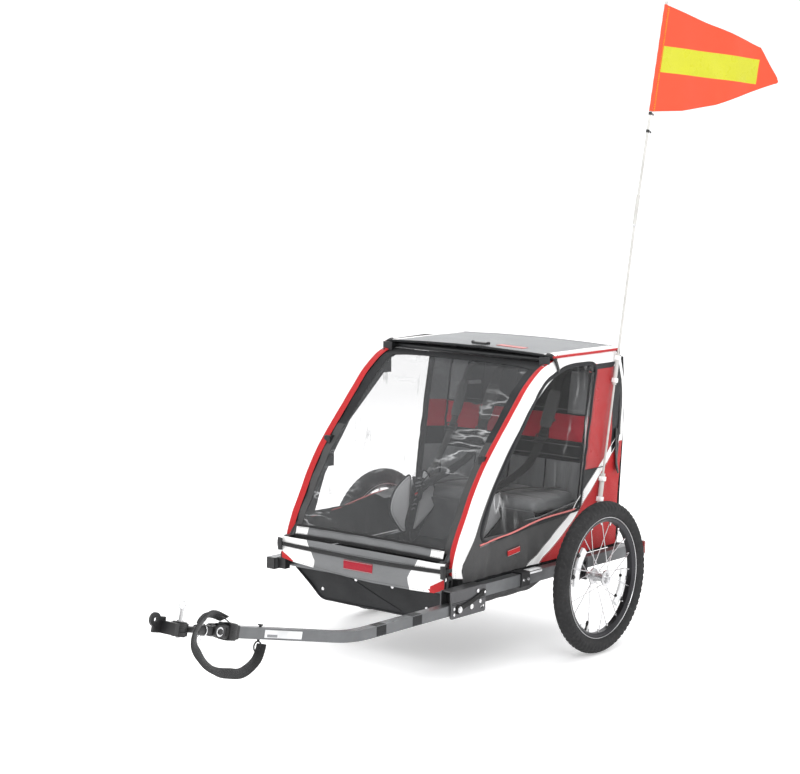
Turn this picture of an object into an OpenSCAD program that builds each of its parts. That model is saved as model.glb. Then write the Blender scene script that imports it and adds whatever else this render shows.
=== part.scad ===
// Child bicycle trailer with a folding cage, quick-release wheels and a side tow arm.
// -Y is the direction of travel, +X is the trailer's left side, +Z is up.
// The ground is z = 0 and the wheel axis is at y = 0 before the whole model is
// shifted along Y by base_shift, so that the origin is under the middle of the bounding box.

/* [Chassis] */
// Distance between the outer faces of the two side rails
chassis_w = 610; // [608:1:614]
// Length of each side rail
rail_len = 840; // [820:5:880]
// Width of the rail tube
rail_w = 26; // [24:1:27]
// Height of the rail tube
rail_h = 30; // [28:1:31]
// Wall thickness of the rail tube
rail_wall = 2; // [1.5:0.5:3]

/* [Cage] */
// Height of the lower leg hinge axis
hinge_low_z = 262; // [262:1:266]
// Height of the roof hinge axis
hinge_top_z = 748; // [740:2:760]
// Distance of each fold axis from the middle of the trailer
fold_x = 262; // [261:1:263]
// Radius of the leg tubes
leg_r = 9.5; // [8.5:0.5:9.5]
// Rise of the roof panel at its middle
roof_crown = 10; // [6:1:14]

/* [Wheels] */
// Distance between the middle planes of the two tyres
track = 736; // [730:2:750]
// Outer radius of the tyre
wheel_r = 200; // [196:1:204]
// Width of the tyre
tyre_w = 46; // [42:1:48]
// Number of spokes in each wheel
spoke_count = 20; // [16:4:24]
// Radius of the wheel axle
axle_r = 6; // [5.5:0.25:6]

/* [Tow arm] */
// Outer size of the square tow arm tube
arm_w = 25.4; // [24:0.2:25.4]
// Wall thickness of the tow arm tube
arm_wall = 2; // [1.5:0.5:3]
// Rise angle of the front part of the tow arm
arm_rise = 12; // [10:1:14]
// Radius of the bore that takes the bicycle's rear axle
axle_bore_r = 5.2; // [5:0.1:6]

/* [Flag] */
// Length of the flag along its lower and upper edges
flag_len = 470; // [380:10:480]
// Height of the flag at the pole
flag_h = 290; // [240:10:300]
// Radius of the flag pole
pole_r = 3; // [2.5:0.25:3]

/* [Hidden] */
$fn = 48;
base_shift = 374.8;
rail_z = 210;
rail_y0 = -540;
rail_x = chassis_w/2 - rail_w/2;
knee_z = (hinge_low_z + hinge_top_z)/2;
leg_x = fold_x - 12;
front_base_y = -520;
front_knee_y = -365;
front_top_y = -125;
rear_leg_y = 225;
pin_r = 4;
wheel_x = track/2;
wheel_z = 200;
arm_x = rail_x;
arm_z = 196;
arm_pivot_y = -488;
arm_bend_y = -866;
arm_bend_r = 600;
arm_end_y = -1321;
pole_x = 282;
pole_y0 = 122;
pole_z0 = 368;

// Outer edge of the front of the cage, seen from the side: [y, z]
edge_pts = [[-505, 300], [-489, 345], [-458, 400], [-430, 452], [-392, 508],
            [-345, 562], [-294, 614], [-242, 668], [-200, 708], [-150, 742], [-112, 756]];
// Inner edge of the front leg sleeve: [y, z]
sleeve_pts = [[-470, 300], [-436, 345], [-408, 400], [-376, 452], [-336, 508],
              [-292, 562], [-240, 614], [-186, 664], [-148, 694], [-112, 716], [-84, 728]];
// Window outline: [y, z]
window_pts = [[-392, 345], [-352, 446], [-313, 500], [-268, 556], [-196, 646],
              [-160, 686], [-122, 714], [-60, 734], [0, 742], [90, 740], [104, 732],
              [54, 463], [40, 366], [-8, 364], [-141, 358], [-265, 344]];
// Route of the safety strap's middle line: [x, y, z]
strap_pts = [[292, -1232, 236], [294, -1240, 222], [298, -1256, 206], [304, -1286, 195],
             [310, -1320, 191], [313, -1356, 198], [314, -1396, 209], [314, -1430, 230],
             [314, -1450, 252], [314, -1468, 280], [314, -1464, 306], [314, -1446, 326],
             [312, -1424, 336], [304, -1404, 334], [296, -1380, 326],
             [292, -1352, 313]];

// ---------- helpers ----------
module place() { translate([0, base_shift, 0]) children(); }
module side(s) { if (s > 0) children(); else mirror([1, 0, 0]) children(); }
// cylinder along +X from x0 to x1, centred on (y, z)
module xcyl(x0, x1, y, z, r, fn = 48) { translate([x0, y, z]) rotate([0, 90, 0]) cylinder(h = x1 - x0, r = r, $fn = fn); }
// cylinder along +Y from y0 to y1, centred on (x, z)
module ycyl(y0, y1, x, z, r, fn = 48) { translate([x, y0, z]) rotate([-90, 0, 0]) cylinder(h = y1 - y0, r = r, $fn = fn); }
module box(x0, x1, y0, y1, z0, z1) { translate([x0, y0, z0]) cube([x1 - x0, y1 - y0, z1 - z0]); }
// outline in (y, z), drawn as a plate from x0 to x1
module yz_plate(x0, x1) { translate([x0, 0, 0]) rotate([90, 0, 90]) linear_extrude(height = x1 - x0) children(); }
// outline in (x, z), drawn as a plate from y0 to y1
module xz_plate(y0, y1) { translate([0, y1, 0]) rotate([90, 0, 0]) linear_extrude(height = y1 - y0) children(); }
module rrect(x0, x1, y0, y1, r) {
    translate([x0 + r, y0]) square([x1 - x0 - 2*r, y1 - y0]);
    translate([x0, y0 + r]) square([x1 - x0, y1 - y0 - 2*r]);
    for (x = [x0 + r, x1 - r], y = [y0 + r, y1 - r]) translate([x, y]) circle(r = r, $fn = 32);
}
// round bar between two points
module bar(a, b, r, fn = 32) {
    d = b - a; l = norm(d);
    translate(a) rotate([0, acos(d[2]/l), atan2(d[1], d[0])]) cylinder(h = l, r = r, $fn = fn);
}
function unit2(v) = v/norm(v);
function tangent(p, i) = unit2(p[min(i + 1, len(p) - 1)] - p[max(i - 1, 0)]);
// points of a polyline moved sideways by d
function shifted(p, d) = [for (i = [0:len(p) - 1]) p[i] + d*[-tangent(p, i)[1], tangent(p, i)[0]]];
function rev(p) = [for (i = [len(p) - 1:-1:0]) p[i]];

// ---------- chassis ----------
module rail(s, bolts) {
    side(s) difference() {
        box(rail_x - rail_w/2, rail_x + rail_w/2, rail_y0, rail_y0 + rail_len, rail_z, rail_z + rail_h);
        box(rail_x - rail_w/2 + rail_wall, rail_x + rail_w/2 - rail_wall, rail_y0 - 1, rail_y0 + rail_len + 1,
            rail_z + rail_wall, rail_z + rail_h - rail_wall);
        if (bolts) xcyl(rail_x - 30, rail_x + 30, -462, 231, 3.2);
    }
}
module rail_left() { color("dimgray") place() rail(1, true); }
module rail_right() { color("dimgray") place() rail(-1, false); }

module cross_tubes() {
    hw = chassis_w/2 - rail_w;
    color("gray") place() {
        for (t = [[-497.5, 225, 9.5, hw - 4], [0, 200, 11, 238], [285, 225, 9.5, hw]]) difference() {
            xcyl(-t[3], t[3], t[0], t[1], t[2]);
            xcyl(-t[3] - 1, t[3] + 1, t[0], t[1], t[2] - 2);
        }
    }
}

module rail_fittings() {
    y1 = rail_y0 + rail_len;
    color([0.08, 0.08, 0.09]) place() for (s = [1, -1]) side(s) {
        for (e = [[rail_y0 - 4, rail_y0, rail_y0, rail_y0 + 12], [y1, y1 + 4, y1 - 12, y1]]) {
            box(rail_x - rail_w/2, rail_x + rail_w/2, e[0], e[1], rail_z, rail_z + rail_h);
            box(rail_x - rail_w/2 + rail_wall + 0.1, rail_x + rail_w/2 - rail_wall - 0.1, e[2], e[3],
                rail_z + rail_wall + 0.1, rail_z + rail_h - rail_wall - 0.1);
        }
        xz_plate(-270, -234) difference() {
            rrect(rail_x - rail_w/2 - 4, rail_x + rail_w/2 + 4, rail_z - 4, rail_z + rail_h + 4, 3);
            translate([rail_x - rail_w/2, rail_z]) square([rail_w, rail_h]);
        }
    }
}

module axle_sockets() {
    color([0.1, 0.1, 0.11]) place() for (s = [1, -1]) side(s) difference() {
        union() {
            xcyl(238, 327, 0, wheel_z, 13);
            box(rail_x - rail_w/2, chassis_w/2 + 4, -32, 32, 188, rail_z);
            box(chassis_w/2, chassis_w/2 + 4, -32, 32, 188, 238);
            for (y = [-22, 22]) xcyl(chassis_w/2 + 4, chassis_w/2 + 8, y, 226, 5, 6);
        }
        xcyl(237, 328, 0, wheel_z, axle_r + 0.06);
        box(rail_x - rail_w/2, rail_x + rail_w/2, -40, 40, rail_z, rail_z + rail_h);
    }
}

module tow_bracket() {
    color("darkgray") place() difference() {
        union() {
            yz_plate(chassis_w/2, chassis_w/2 + 4) rrect(-567, -425, 175, 243, 6);
            yz_plate(chassis_w/2 - rail_w - 4, chassis_w/2 - rail_w) rrect(-567, -425, 175, 243, 6);
            box(chassis_w/2 - rail_w - 4, chassis_w/2 + 4, -561, -431, 240, 243);
        }
        xcyl(260, 320, -462, 231, 3.2);
        xcyl(260, 320, arm_pivot_y, arm_z, pin_r + 0.05);
        xcyl(260, 320, arm_pivot_y - 49, arm_z, pin_r + 0.06);
        xcyl(260, 320, arm_pivot_y + 48, arm_z - 9, pin_r + 0.06);
    }
}

module bracket_bolts() {
    xo = chassis_w/2 + 4; xi = chassis_w/2 - rail_w - 4;
    color("silver") place() {
        xcyl(xi, xo, -462, 231, 3);
        xcyl(xo, xo + 4, -462, 231, 5.2, 6);
        xcyl(xi - 4, xi, -462, 231, 5.2, 6);
        xcyl(xi, xo, arm_pivot_y, arm_z, pin_r);
        xcyl(xo, xo + 5, arm_pivot_y, arm_z, 7, 6);
        xcyl(xi - 5, xi, arm_pivot_y, arm_z, 7, 6);
        xcyl(xo, xo + 5, -434, 224, 3.5);
    }
}

// rubber keeper strap between the lock pin's head and a stud on the bracket
module retention_strap() {
    a = [arm_pivot_y - 49, arm_z]; b = [-434, 224];
    n = 5.5*[-unit2(b - a)[1], unit2(b - a)[0]];
    color([0.12, 0.12, 0.12]) place() yz_plate(chassis_w/2 + 4.4, chassis_w/2 + 7.4) difference() {
        union() {
            translate(a) circle(r = 11.5);
            translate(b) circle(r = 7);
            polygon([a + n, b + n, b - n, a - n]);
        }
        translate(a) circle(r = 8.4);
        translate(b) circle(r = 3.6);
    }
}

// ---------- soft body ----------
function tub_outline(d) = [[-262 + d, 239], [-262 + d, 215 + d/2], [-170 + d/2, 140 + d], [170 - d/2, 140 + d],
                           [262 - d, 215 + d/2], [262 - d, 239]];
module floor_tub() {
    color([0.07, 0.07, 0.08]) place() {
        difference() {
            xz_plate(-478, -40) polygon(tub_outline(0));
            xz_plate(-474, -44) polygon(concat([[-258, 240]], [for (p = tub_outline(4)) p], [[258, 240]]));
        }
        box(-262, 262, -40, 212, 235, 239);
    }
}
module front_flap() {
    color("gray") place() xz_plate(-536.2, -532.4)
        polygon([[-262, 296], [-262, 243], [-210, 236], [-70, 226], [40, 221], [150, 221], [230, 224], [262, 236], [262, 296]]);
}
module flap_elastic() {
    color([0.1, 0.1, 0.1]) place() {
        box(-266, 266, -539.2, -536.5, 278, 286);
        for (s = [1, -1]) side(s) box(263.5, 266, -536.5, -480, 278, 286);
    }
}
module seat_base() {
    color("darkgray") place() yz_plate(-232, 232)
        polygon([[-112, 362], [-116, 376], [-104, 392], [80, 398], [96, 390], [96, 368], [40, 352]]);
}
module seat_back() {
    color("gray") place() yz_plate(-232, 232)
        polygon([[98, 366], [98, 400], [140, 700], [146, 716], [156, 716], [162, 702], [124, 372]]);
}
module harness() {
    color([0.7, 0.7, 0.7]) place() {
        for (x = [-150, -50, 50, 150]) {
            yz_plate(x - 20, x + 20) polygon([[94.5, 425], [84, 425], [78, 432], [102, 588], [114, 594], [117.5, 588]]);
            box(x - 12, x + 12, -60, 60, 399, 403);
        }
    }
}
module harness_buckle() {
    color([0.05, 0.05, 0.05]) place() for (x = [-100, 100]) {
        box(x - 24, x + 24, -40, 10, 400, 414);
        box(x - 17, x + 17, -34, 4, 414, 418);
    }
}
module rear_panel() {
    color([0.09, 0.09, 0.1]) place() yz_plate(-260, 260)
        polygon([[243, 246], [243.4, 500], [243, 700], [242, 757], [244, 759], [252, 690], [257, 620], [256, 520], [247, 380], [245.5, 246]]);
}
panel_out = concat([[-470, 245]], sleeve_pts,
                   [[-80, 766], [194, 766], [226, 736], [244, 690], [250, 620], [246, 540], [232, 430], [226, 366], [224, 245]]);
module side_panel(s) {
    side(s) yz_plate(271.2, 274.2) difference() {
        polygon(panel_out);
        polygon(window_pts);
    }
}
module side_panel_left() { color([0.12, 0.12, 0.13]) place() side_panel(1); }
module side_panel_right() { color([0.12, 0.12, 0.13]) place() side_panel(-1); }
module side_windows() { color([0.7, 0.8, 0.85, 0.5]) place() for (s = [1, -1]) side(s) yz_plate(272.2, 273.2) polygon(window_pts); }
module sleeve(s) {
    side(s) {
        yz_plate(271.2, 274.2) difference() {
            polygon(concat(edge_pts, [[-84, 772], [-80, 766]], rev(sleeve_pts), [[-470, 246], [-504, 246]]));
            polygon(window_pts);
        }
        // the part that wraps round the front of the leg, between its knuckles
        for (r = [[1, 4], [5, 8]])
            yz_plate(238, 271.2) let (e = [for (i = [r[0]:r[1]]) edge_pts[i]]) polygon(concat(e, rev(shifted(e, -2.5))));
    }
}
module sleeve_left() { color("white") place() sleeve(1); }
module sleeve_right() { color("white") place() sleeve(-1); }

// ---------- hinges and legs ----------
hinges = [[1, front_base_y, 275], [-1, front_base_y, 279], [1, rear_leg_y, 279], [-1, rear_leg_y, 279]];
module rail_hinges() {
    color([0.1, 0.1, 0.1]) place() for (h = hinges) side(h[0]) difference() {
        union() {
            box(254, h[2], h[1] - 9.3, h[1] + 9.3, rail_z + 2, 239);
            for (y = [h[1] - 9.3, h[1] + 5.3]) {
                ycyl(y, y + 4, fold_x, hinge_low_z, 8);
                box(fold_x - 8, fold_x + 8, y, y + 4, 236, hinge_low_z);
            }
        }
        ycyl(h[1] - 20, h[1] + 20, fold_x, hinge_low_z, pin_r + 0.05);
    }
}
module pins(z, ys, s, l) {
    for (y = ys) side(s) {
        ycyl(y - l/2, y + l/2, fold_x, z, pin_r);
        ycyl(y - l/2 - 2, y - l/2, fold_x, z, 6);
    }
}
module rail_hinge_pins() { color("silver") place() for (s = [1, -1]) pins(hinge_low_z, [front_base_y, rear_leg_y], s, 20); }

module lower_leg(y0, y1) {
    difference() {
        union() {
            // eye and knuckle at the rail
            ycyl(y0 - 5, y0 + 5, fold_x, hinge_low_z, 8);
            box(leg_x - leg_r, fold_x, y0 - 5, y0 + 5, hinge_low_z, hinge_low_z + 28);
            box(leg_x - leg_r, leg_x + leg_r, y0 - leg_r, y0 + leg_r + 4, hinge_low_z + 16, hinge_low_z + 40);
            bar([leg_x, y0 + 6, hinge_low_z + 26], [leg_x, y1 - 6, knee_z - 26], leg_r - 0.5);
            // fork at the knee
            box(leg_x - leg_r, leg_x + leg_r, y1 - leg_r - 4, y1 + leg_r, knee_z - 40, knee_z - 14);
            for (y = [y1 - 9.3, y1 + 5.3]) {
                ycyl(y, y + 4, fold_x, knee_z, 8);
                box(leg_x - leg_r, fold_x, y, y + 4, knee_z - 24, knee_z);
            }
        }
        ycyl(y0 - 6, y0 + 6, fold_x, hinge_low_z, pin_r + 0.06);
        ycyl(y1 - 20, y1 + 20, fold_x, knee_z, pin_r + 0.05);
    }
}
module upper_leg(y0, y1) {
    difference() {
        union() {
            ycyl(y0 - 5, y0 + 5, fold_x, knee_z, 8);
            box(leg_x - leg_r, fold_x, y0 - 5, y0 + 5, knee_z, knee_z + 28);
            box(leg_x - leg_r, leg_x + leg_r, y0 - leg_r, y0 + leg_r + 4, knee_z + 16, knee_z + 40);
            bar([leg_x, y0 + 8, knee_z + 26], [leg_x, y1 - 12, hinge_top_z - 38], leg_r - 0.5);
            box(leg_x - leg_r, leg_x + leg_r, y1 - leg_r - 14, y1 + leg_r - 4, hinge_top_z - 54, hinge_top_z - 25);
            ycyl(y1 - 5, y1 + 5, fold_x, hinge_top_z, 8);
            box(leg_x - leg_r, fold_x, y1 - 5, y1 + 5, hinge_top_z - 34, hinge_top_z);
        }
        ycyl(y0 - 6, y0 + 6, fold_x, knee_z, pin_r + 0.06);
        ycyl(y1 - 6, y1 + 6, fold_x, hinge_top_z, pin_r + 0.06);
    }
}
module legs_lower(s) { side(s) { lower_leg(front_base_y, front_knee_y); lower_leg(rear_leg_y, rear_leg_y); } }
module legs_upper(s) { side(s) { upper_leg(front_knee_y, front_top_y); upper_leg(rear_leg_y, rear_leg_y); } }
module legs_lower_left() { color("silver") place() legs_lower(1); }
module legs_lower_right() { color("silver") place() legs_lower(-1); }
module legs_upper_left() { color("silver") place() legs_upper(1); }
module legs_upper_right() { color("silver") place() legs_upper(-1); }
module knee_pins_left() { color("silver") place() pins(knee_z, [front_knee_y, rear_leg_y], 1, 20); }
module knee_pins_right() { color("silver") place() pins(knee_z, [front_knee_y, rear_leg_y], -1, 20); }

// ---------- roof ----------
roof_tube_z = hinge_top_z + 17;
module roof_frame() {
    color("silver") place() difference() {
        union() {
            for (s = [1, -1]) side(s) {
                ycyl(front_top_y + 9, rear_leg_y - 9, leg_x, roof_tube_z, leg_r - 0.5);
                for (y = [front_top_y + 5.4, rear_leg_y - 11.4]) {
                    box(leg_x - leg_r, fold_x + 8, y, y + 6, hinge_top_z, roof_tube_z + leg_r);
                    ycyl(y, y + 6, fold_x, hinge_top_z, 8);
                }
            }
            for (y = [-85, 185]) xcyl(-leg_x, leg_x, y, roof_tube_z, leg_r - 0.5);
        }
        for (s = [1, -1]) side(s) ycyl(front_top_y, rear_leg_y, fold_x, hinge_top_z, pin_r + 0.05);
    }
}
module roof_hinge_pins() {
    color("silver") place() for (s = [1, -1]) side(s) {
        ycyl(front_top_y - 5.4, front_top_y + 13, fold_x, hinge_top_z, pin_r);
        ycyl(front_top_y - 7.4, front_top_y - 5.4, fold_x, hinge_top_z, 6);
        ycyl(rear_leg_y - 13, rear_leg_y + 5.4, fold_x, hinge_top_z, pin_r);
        ycyl(rear_leg_y + 5.4, rear_leg_y + 7.4, fold_x, hinge_top_z, 6);
    }
}
function crown(x) = 776 + roof_crown*(1 - pow(x/270, 2));
module roof_panel() {
    xs = [for (x = [-270:30:270]) x];
    color("dimgray") place() xz_plate(-104, 214)
        polygon(concat([for (x = xs) [x, crown(x)]], [for (x = rev(xs)) [x, crown(x) + 3]]));
}
module roof_toggle() {
    color([0.04, 0.04, 0.04]) place() {
        box(14, 58, -102, -84, crown(14) + 3, crown(14) + 9);
        xcyl(8, 14, -93, crown(14) + 7, 4);
        xcyl(58, 64, -93, crown(14) + 7, 4);
    }
}
// clear front cover, hung from the roof's front edge
cover_line = [for (p = shifted(edge_pts, -6)) p];
module cover_strip(x0, x1, d0, d1, i0, i1) {
    a = shifted(edge_pts, d0); b = shifted(edge_pts, d1);
    yz_plate(x0, x1) polygon(concat([for (i = [i0:i1]) a[i]], [for (i = [i1:-1:i0]) b[i]]));
}
module front_cover() { color([0.75, 0.8, 0.85, 0.4]) place() cover_strip(-196, 196, -5, -6.5, 1, 9); }
module cover_border() {
    color([0.08, 0.08, 0.09]) place() {
        for (s = [1, -1]) side(s) cover_strip(196, 236, -4.5, -7, 0, 10);
        cover_strip(-196, 196, -4.5, -7, 9, 10);
        cover_strip(-196, 196, -4.5, -7, 0, 1);
    }
}
module cover_elastic() {
    p = edge_pts[0];
    color([0.1, 0.1, 0.1]) place() box(-236, 236, p[0] - 3.5, p[0] + 0.2, p[1] + 2, p[1] + 10);
}

// ---------- wheels ----------
module wheel_at(s) { side(s) translate([wheel_x, 0, wheel_z]) rotate([0, 90, 0]) children(); }
module tyre(s) {
    wheel_at(s) rotate_extrude($fn = 96) intersection() {
        translate([wheel_r - tyre_w/2, 0]) circle(r = tyre_w/2, $fn = 48);
        translate([wheel_r - 43, -30]) square([60, 60]);
    }
}
module rim(s) {
    r = wheel_r - 43;
    wheel_at(s) rotate_extrude($fn = 96)
        polygon([[r, -11], [r, 11], [r - 2, 13], [r - 6, 12], [r - 11, 7], [r - 11, -7], [r - 6, -12], [r - 2, -13]]);
}
module spokes(s) {
    wheel_at(s) for (i = [0:spoke_count - 1]) {
        a = i*360/spoke_count; b = a + (i % 4 < 2 ? 22 : -22); h = (i % 2 == 0 ? 19 : -19);
        bar([21.4*cos(b), 21.4*sin(b), h], [(wheel_r - 54.3)*cos(a), (wheel_r - 54.3)*sin(a), h/8], 1.1, 8);
    }
}
module hub(s) {
    wheel_at(s) rotate_extrude($fn = 64)
        polygon([[axle_r + 0.06, -25], [13, -25], [14, -22], [21, -21], [21, -17.5], [13, -15], [11, -8], [11, 8],
                 [13, 15], [21, 17.5], [21, 21], [14, 22], [13, 25], [axle_r + 0.06, 25]]);
}
module axle(s) {
    side(s) difference() {
        union() {
            xcyl(246, wheel_x + 25.3, 0, wheel_z, axle_r);
            xcyl(330, wheel_x - 25.3, 0, wheel_z, 9);
            xcyl(wheel_x + 25.3, wheel_x + 30, 0, wheel_z, 10);
        }
        xcyl(wheel_x + 16, wheel_x + 31, 0, wheel_z, 4.06);
    }
}
module button(s) { side(s) xcyl(wheel_x + 20, wheel_x + 34, 0, wheel_z, 4); }
module tyre_left() { color([0.06, 0.06, 0.06]) place() tyre(1); }
module tyre_right() { color([0.06, 0.06, 0.06]) place() tyre(-1); }
module rim_left() { color([0.1, 0.1, 0.1]) place() rim(1); }
module rim_right() { color([0.1, 0.1, 0.1]) place() rim(-1); }
module spokes_left() { color("silver") place() spokes(1); }
module spokes_right() { color("silver") place() spokes(-1); }
module hub_left() { color("silver") place() hub(1); }
module hub_right() { color("silver") place() hub(-1); }
module axle_left() { color("silver") place() axle(1); }
module axle_right() { color("silver") place() axle(-1); }
module button_left() { color([0.2, 0.2, 0.2]) place() button(1); }
module button_right() { color([0.2, 0.2, 0.2]) place() button(-1); }

// ---------- tow arm ----------
arm_seg = 8;
bend_end = [arm_bend_y - arm_bend_r*sin(arm_rise), arm_z + arm_bend_r*(1 - cos(arm_rise))];
arm_end = [arm_end_y, bend_end[1] + (bend_end[0] - arm_end_y)*tan(arm_rise)];
function arm_side(d, y0, past = 0) = concat([[y0, arm_z + d]],
    [for (i = [0:arm_seg]) let (a = arm_rise*i/arm_seg)
        [arm_bend_y - arm_bend_r*sin(a) + d*sin(a)*1, arm_z + arm_bend_r*(1 - cos(a)) + d*cos(a)]],
    [[arm_end[0] + d*sin(arm_rise) - past*cos(arm_rise), arm_end[1] + d*cos(arm_rise) + past*sin(arm_rise)]]);
module tow_arm() {
    h = arm_w/2;
    color([0.2, 0.21, 0.22]) place() difference() {
        union() {
            yz_plate(arm_x - h, arm_x + h) polygon(concat(arm_side(h, arm_pivot_y), rev(arm_side(-h, arm_pivot_y))));
            xcyl(arm_x - h, arm_x + h, arm_pivot_y, arm_z, h);
        }
        // inside of the tube, open through the end face
        yz_plate(arm_x - h + arm_wall, arm_x + h - arm_wall)
            polygon(concat(arm_side(h - arm_wall, -560, 3), rev(arm_side(-h + arm_wall, -560, 3))));
        xcyl(arm_x - h - 1, arm_x + h + 1, arm_pivot_y, arm_z, pin_r + 0.06);
        // open-topped notch that clears the lock pin as the arm swings
        box(arm_x - h - 1, arm_x + h + 1, arm_pivot_y - 54.5, arm_pivot_y - 38, arm_z - 4.6, arm_z + h + 1);
        // hole for the strap anchor
        translate([arm_x, -1240, arm_end[1] - 81*tan(arm_rise)]) rotate([-arm_rise, 0, 0]) cylinder(h = 60, r = 3.06, center = true);
    }
}
module lock_pin() {
    xo = chassis_w/2 + 4;
    color("silver") place() {
        xcyl(268, xo + 0.6, arm_pivot_y - 49, arm_z, pin_r);
        xcyl(xo + 0.6, xo + 6, arm_pivot_y - 49, arm_z, 8);
        xcyl(xo + 6, xo + 8, arm_pivot_y - 49, arm_z, 6);
    }
}
// local frame at the end of the tow arm: -Y runs along the arm's front part
module at_end() { translate([arm_x, arm_end[0], arm_end[1]]) rotate([-arm_rise, 0, 0]) children(); }
module hitch_receiver() {
    color([0.09, 0.09, 0.1]) place() at_end() {
        difference() {
            union() {
                translate([-10.6, 0, -10.6]) cube([21.2, 40, 21.2]);
                rotate([90, 0, 0]) linear_extrude(height = 48) rrect(-15.5, 15.5, -15.5, 15.5, 4);
                for (x = [-15.5, 9.2]) translate([x, -64, 0]) {
                    rotate([0, 90, 0]) cylinder(h = 6.3, r = 14);
                    translate([0, 0, -14]) cube([6.3, 20, 28]);
                }
                translate([-7, -46, 15]) cube([14, 30, 4]);
            }
            translate([-20, -64, 0]) rotate([0, 90, 0]) cylinder(h = 40, r = 4.05);
        }
        // cross bolt with head and nut
        translate([-15.5, -64, 0]) rotate([0, 90, 0]) cylinder(h = 31, r = 4);
        translate([15.5, -64, 0]) rotate([0, 90, 0]) cylinder(h = 5, r = 7, $fn = 6);
        translate([-20.5, -64, 0]) rotate([0, 90, 0]) cylinder(h = 5, r = 7, $fn = 6);
        // vertical anchor pin and strap ring behind the receiver
        translate([0, 82.8, -17]) cylinder(h = 33, r = 3);
        translate([0, 82.8, 16]) cylinder(h = 3, r = 6);
        translate([0, 82.8, -30]) rotate([0, 90, 0]) rotate_extrude($fn = 48) translate([11.4, 0]) circle(r = 1.8, $fn = 24);
    }
}
module hitch_coupler() {
    color([0.1, 0.1, 0.1]) place() at_end() difference() {
        union() {
            translate([-8.8, -64, 0]) rotate([0, 90, 0]) cylinder(h = 17.6, r = 12);
            translate([-8.8, -90, -9]) cube([17.6, 26, 18]);
            translate([0, -80, 0]) rotate([90, 0, 0]) cylinder(h = 42, r = 11);
            translate([0, -118, 0]) rotate([90, 0, 0]) cylinder(h = 32, r = 7);
            translate([0, -173, -4.8]) cylinder(h = 9.6, r = 16);
            translate([-7, -173, -4.8]) cube([14, 32, 9.6]);
        }
        translate([-20, -64, 0]) rotate([0, 90, 0]) cylinder(h = 40, r = 4.06);
        translate([0, -173, -20]) cylinder(h = 40, r = 4.06);
    }
}
module axle_adaptor() {
    color([0.08, 0.08, 0.08]) place() at_end() difference() {
        union() {
            for (z = [-13, 5.2]) translate([0, -173, z]) cylinder(h = 7.8, r = 19);
            translate([0, -173, 13]) cylinder(h = 2.4, r = 15);
            translate([0, -173, -15.4]) cylinder(h = 2.4, r = 15);
            translate([-24, -202, -13]) cube([40, 12, 26]);
            // plate for the bicycle axle
            translate([-30, -224, -13]) cube([6, 34, 34]);
            translate([-30, -220, 14]) rotate([0, 90, 0]) cylinder(h = 6, r = 15);
        }
        translate([0, -173, -20]) cylinder(h = 60, r = 4.06);
        translate([-31, -220, 14]) rotate([0, 90, 0]) cylinder(h = 8, r = axle_bore_r);
    }
}
module hitch_pin() {
    color("silver") place() at_end() {
        translate([0, -173, -19]) cylinder(h = 61, r = 4);
        translate([0, -173, 15.8]) cylinder(h = 3, r = 7);
        translate([0, -173, 50]) rotate([90, 0, 90]) rotate_extrude($fn = 48) translate([8.5, 0]) circle(r = 1.8, $fn = 24);
    }
}
// smooth curve through the strap's route points
function cr(p, i, t) = let (n = len(p), a = p[max(i - 1, 0)], b = p[i], c = p[min(i + 1, n - 1)], d = p[min(i + 2, n - 1)])
    0.5*(2*b + (c - a)*t + (2*a - 5*b + 4*c - d)*t*t + (3*b - a - 3*c + d)*t*t*t);
strap_line = concat([for (i = [0:len(strap_pts) - 2], t = [0, 0.5]) cr(strap_pts, i, t)], [strap_pts[len(strap_pts) - 1]]);
module tube_along(path, r, n) {
    m = len(path);
    pts = [for (i = [0:m - 1]) let (t = (path[min(i + 1, m - 1)] - path[max(i - 1, 0)]), u = t/norm(t),
            a = [1, 0, 0] - (u*[1, 0, 0])*u, e = a/norm(a), f = cross(u, e))
            for (k = [0:n - 1]) path[i] + r*(cos(360*k/n)*e + sin(360*k/n)*f)];
    faces = concat([[for (k = [n - 1:-1:0]) k]], [[for (k = [0:n - 1]) (m - 1)*n + k]],
        [for (i = [0:m - 2], k = [0:n - 1]) [i*n + k, i*n + (k + 1) % n, (i + 1)*n + (k + 1) % n, (i + 1)*n + k]]);
    polyhedron(points = pts, faces = [for (f = faces) rev(f)], convexity = 6);
}
module safety_strap() { color([0.05, 0.05, 0.05]) place() tube_along(strap_line, 5, 8); }

// ---------- flag ----------
module at_pole() { translate([pole_x, pole_y0, pole_z0]) rotate([-10, 0, 0]) children(); }
module at_upper() { at_pole() translate([0, 0, 787]) rotate([-2, 0, 0]) children(); }
module flag_holder() {
    color("ivory") place() at_pole() {
        difference() { translate([0, 0, -4]) cylinder(h = 84, r = 6.4); cylinder(h = 90, r = 3.35); }
        difference() { translate([0, 0, 318]) cylinder(h = 84, r = 5.4); translate([0, 0, 310]) cylinder(h = 100, r = 3.35); }
    }
}
module pole_lower() {
    color("ghostwhite") place() at_pole() {
        translate([0, 0, 0.3]) cylinder(h = 745.7, r = pole_r);
        translate([0, 0, 746]) cylinder(h = 41, r = 4.6);
    }
}
module pole_upper() {
    color("ghostwhite") place() at_upper() {
        translate([0, 0, 0.2]) cylinder(h = 40, r = 4.6);
        translate([0, 0, 40.2]) cylinder(h = 524, r = pole_r);
    }
}
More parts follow.
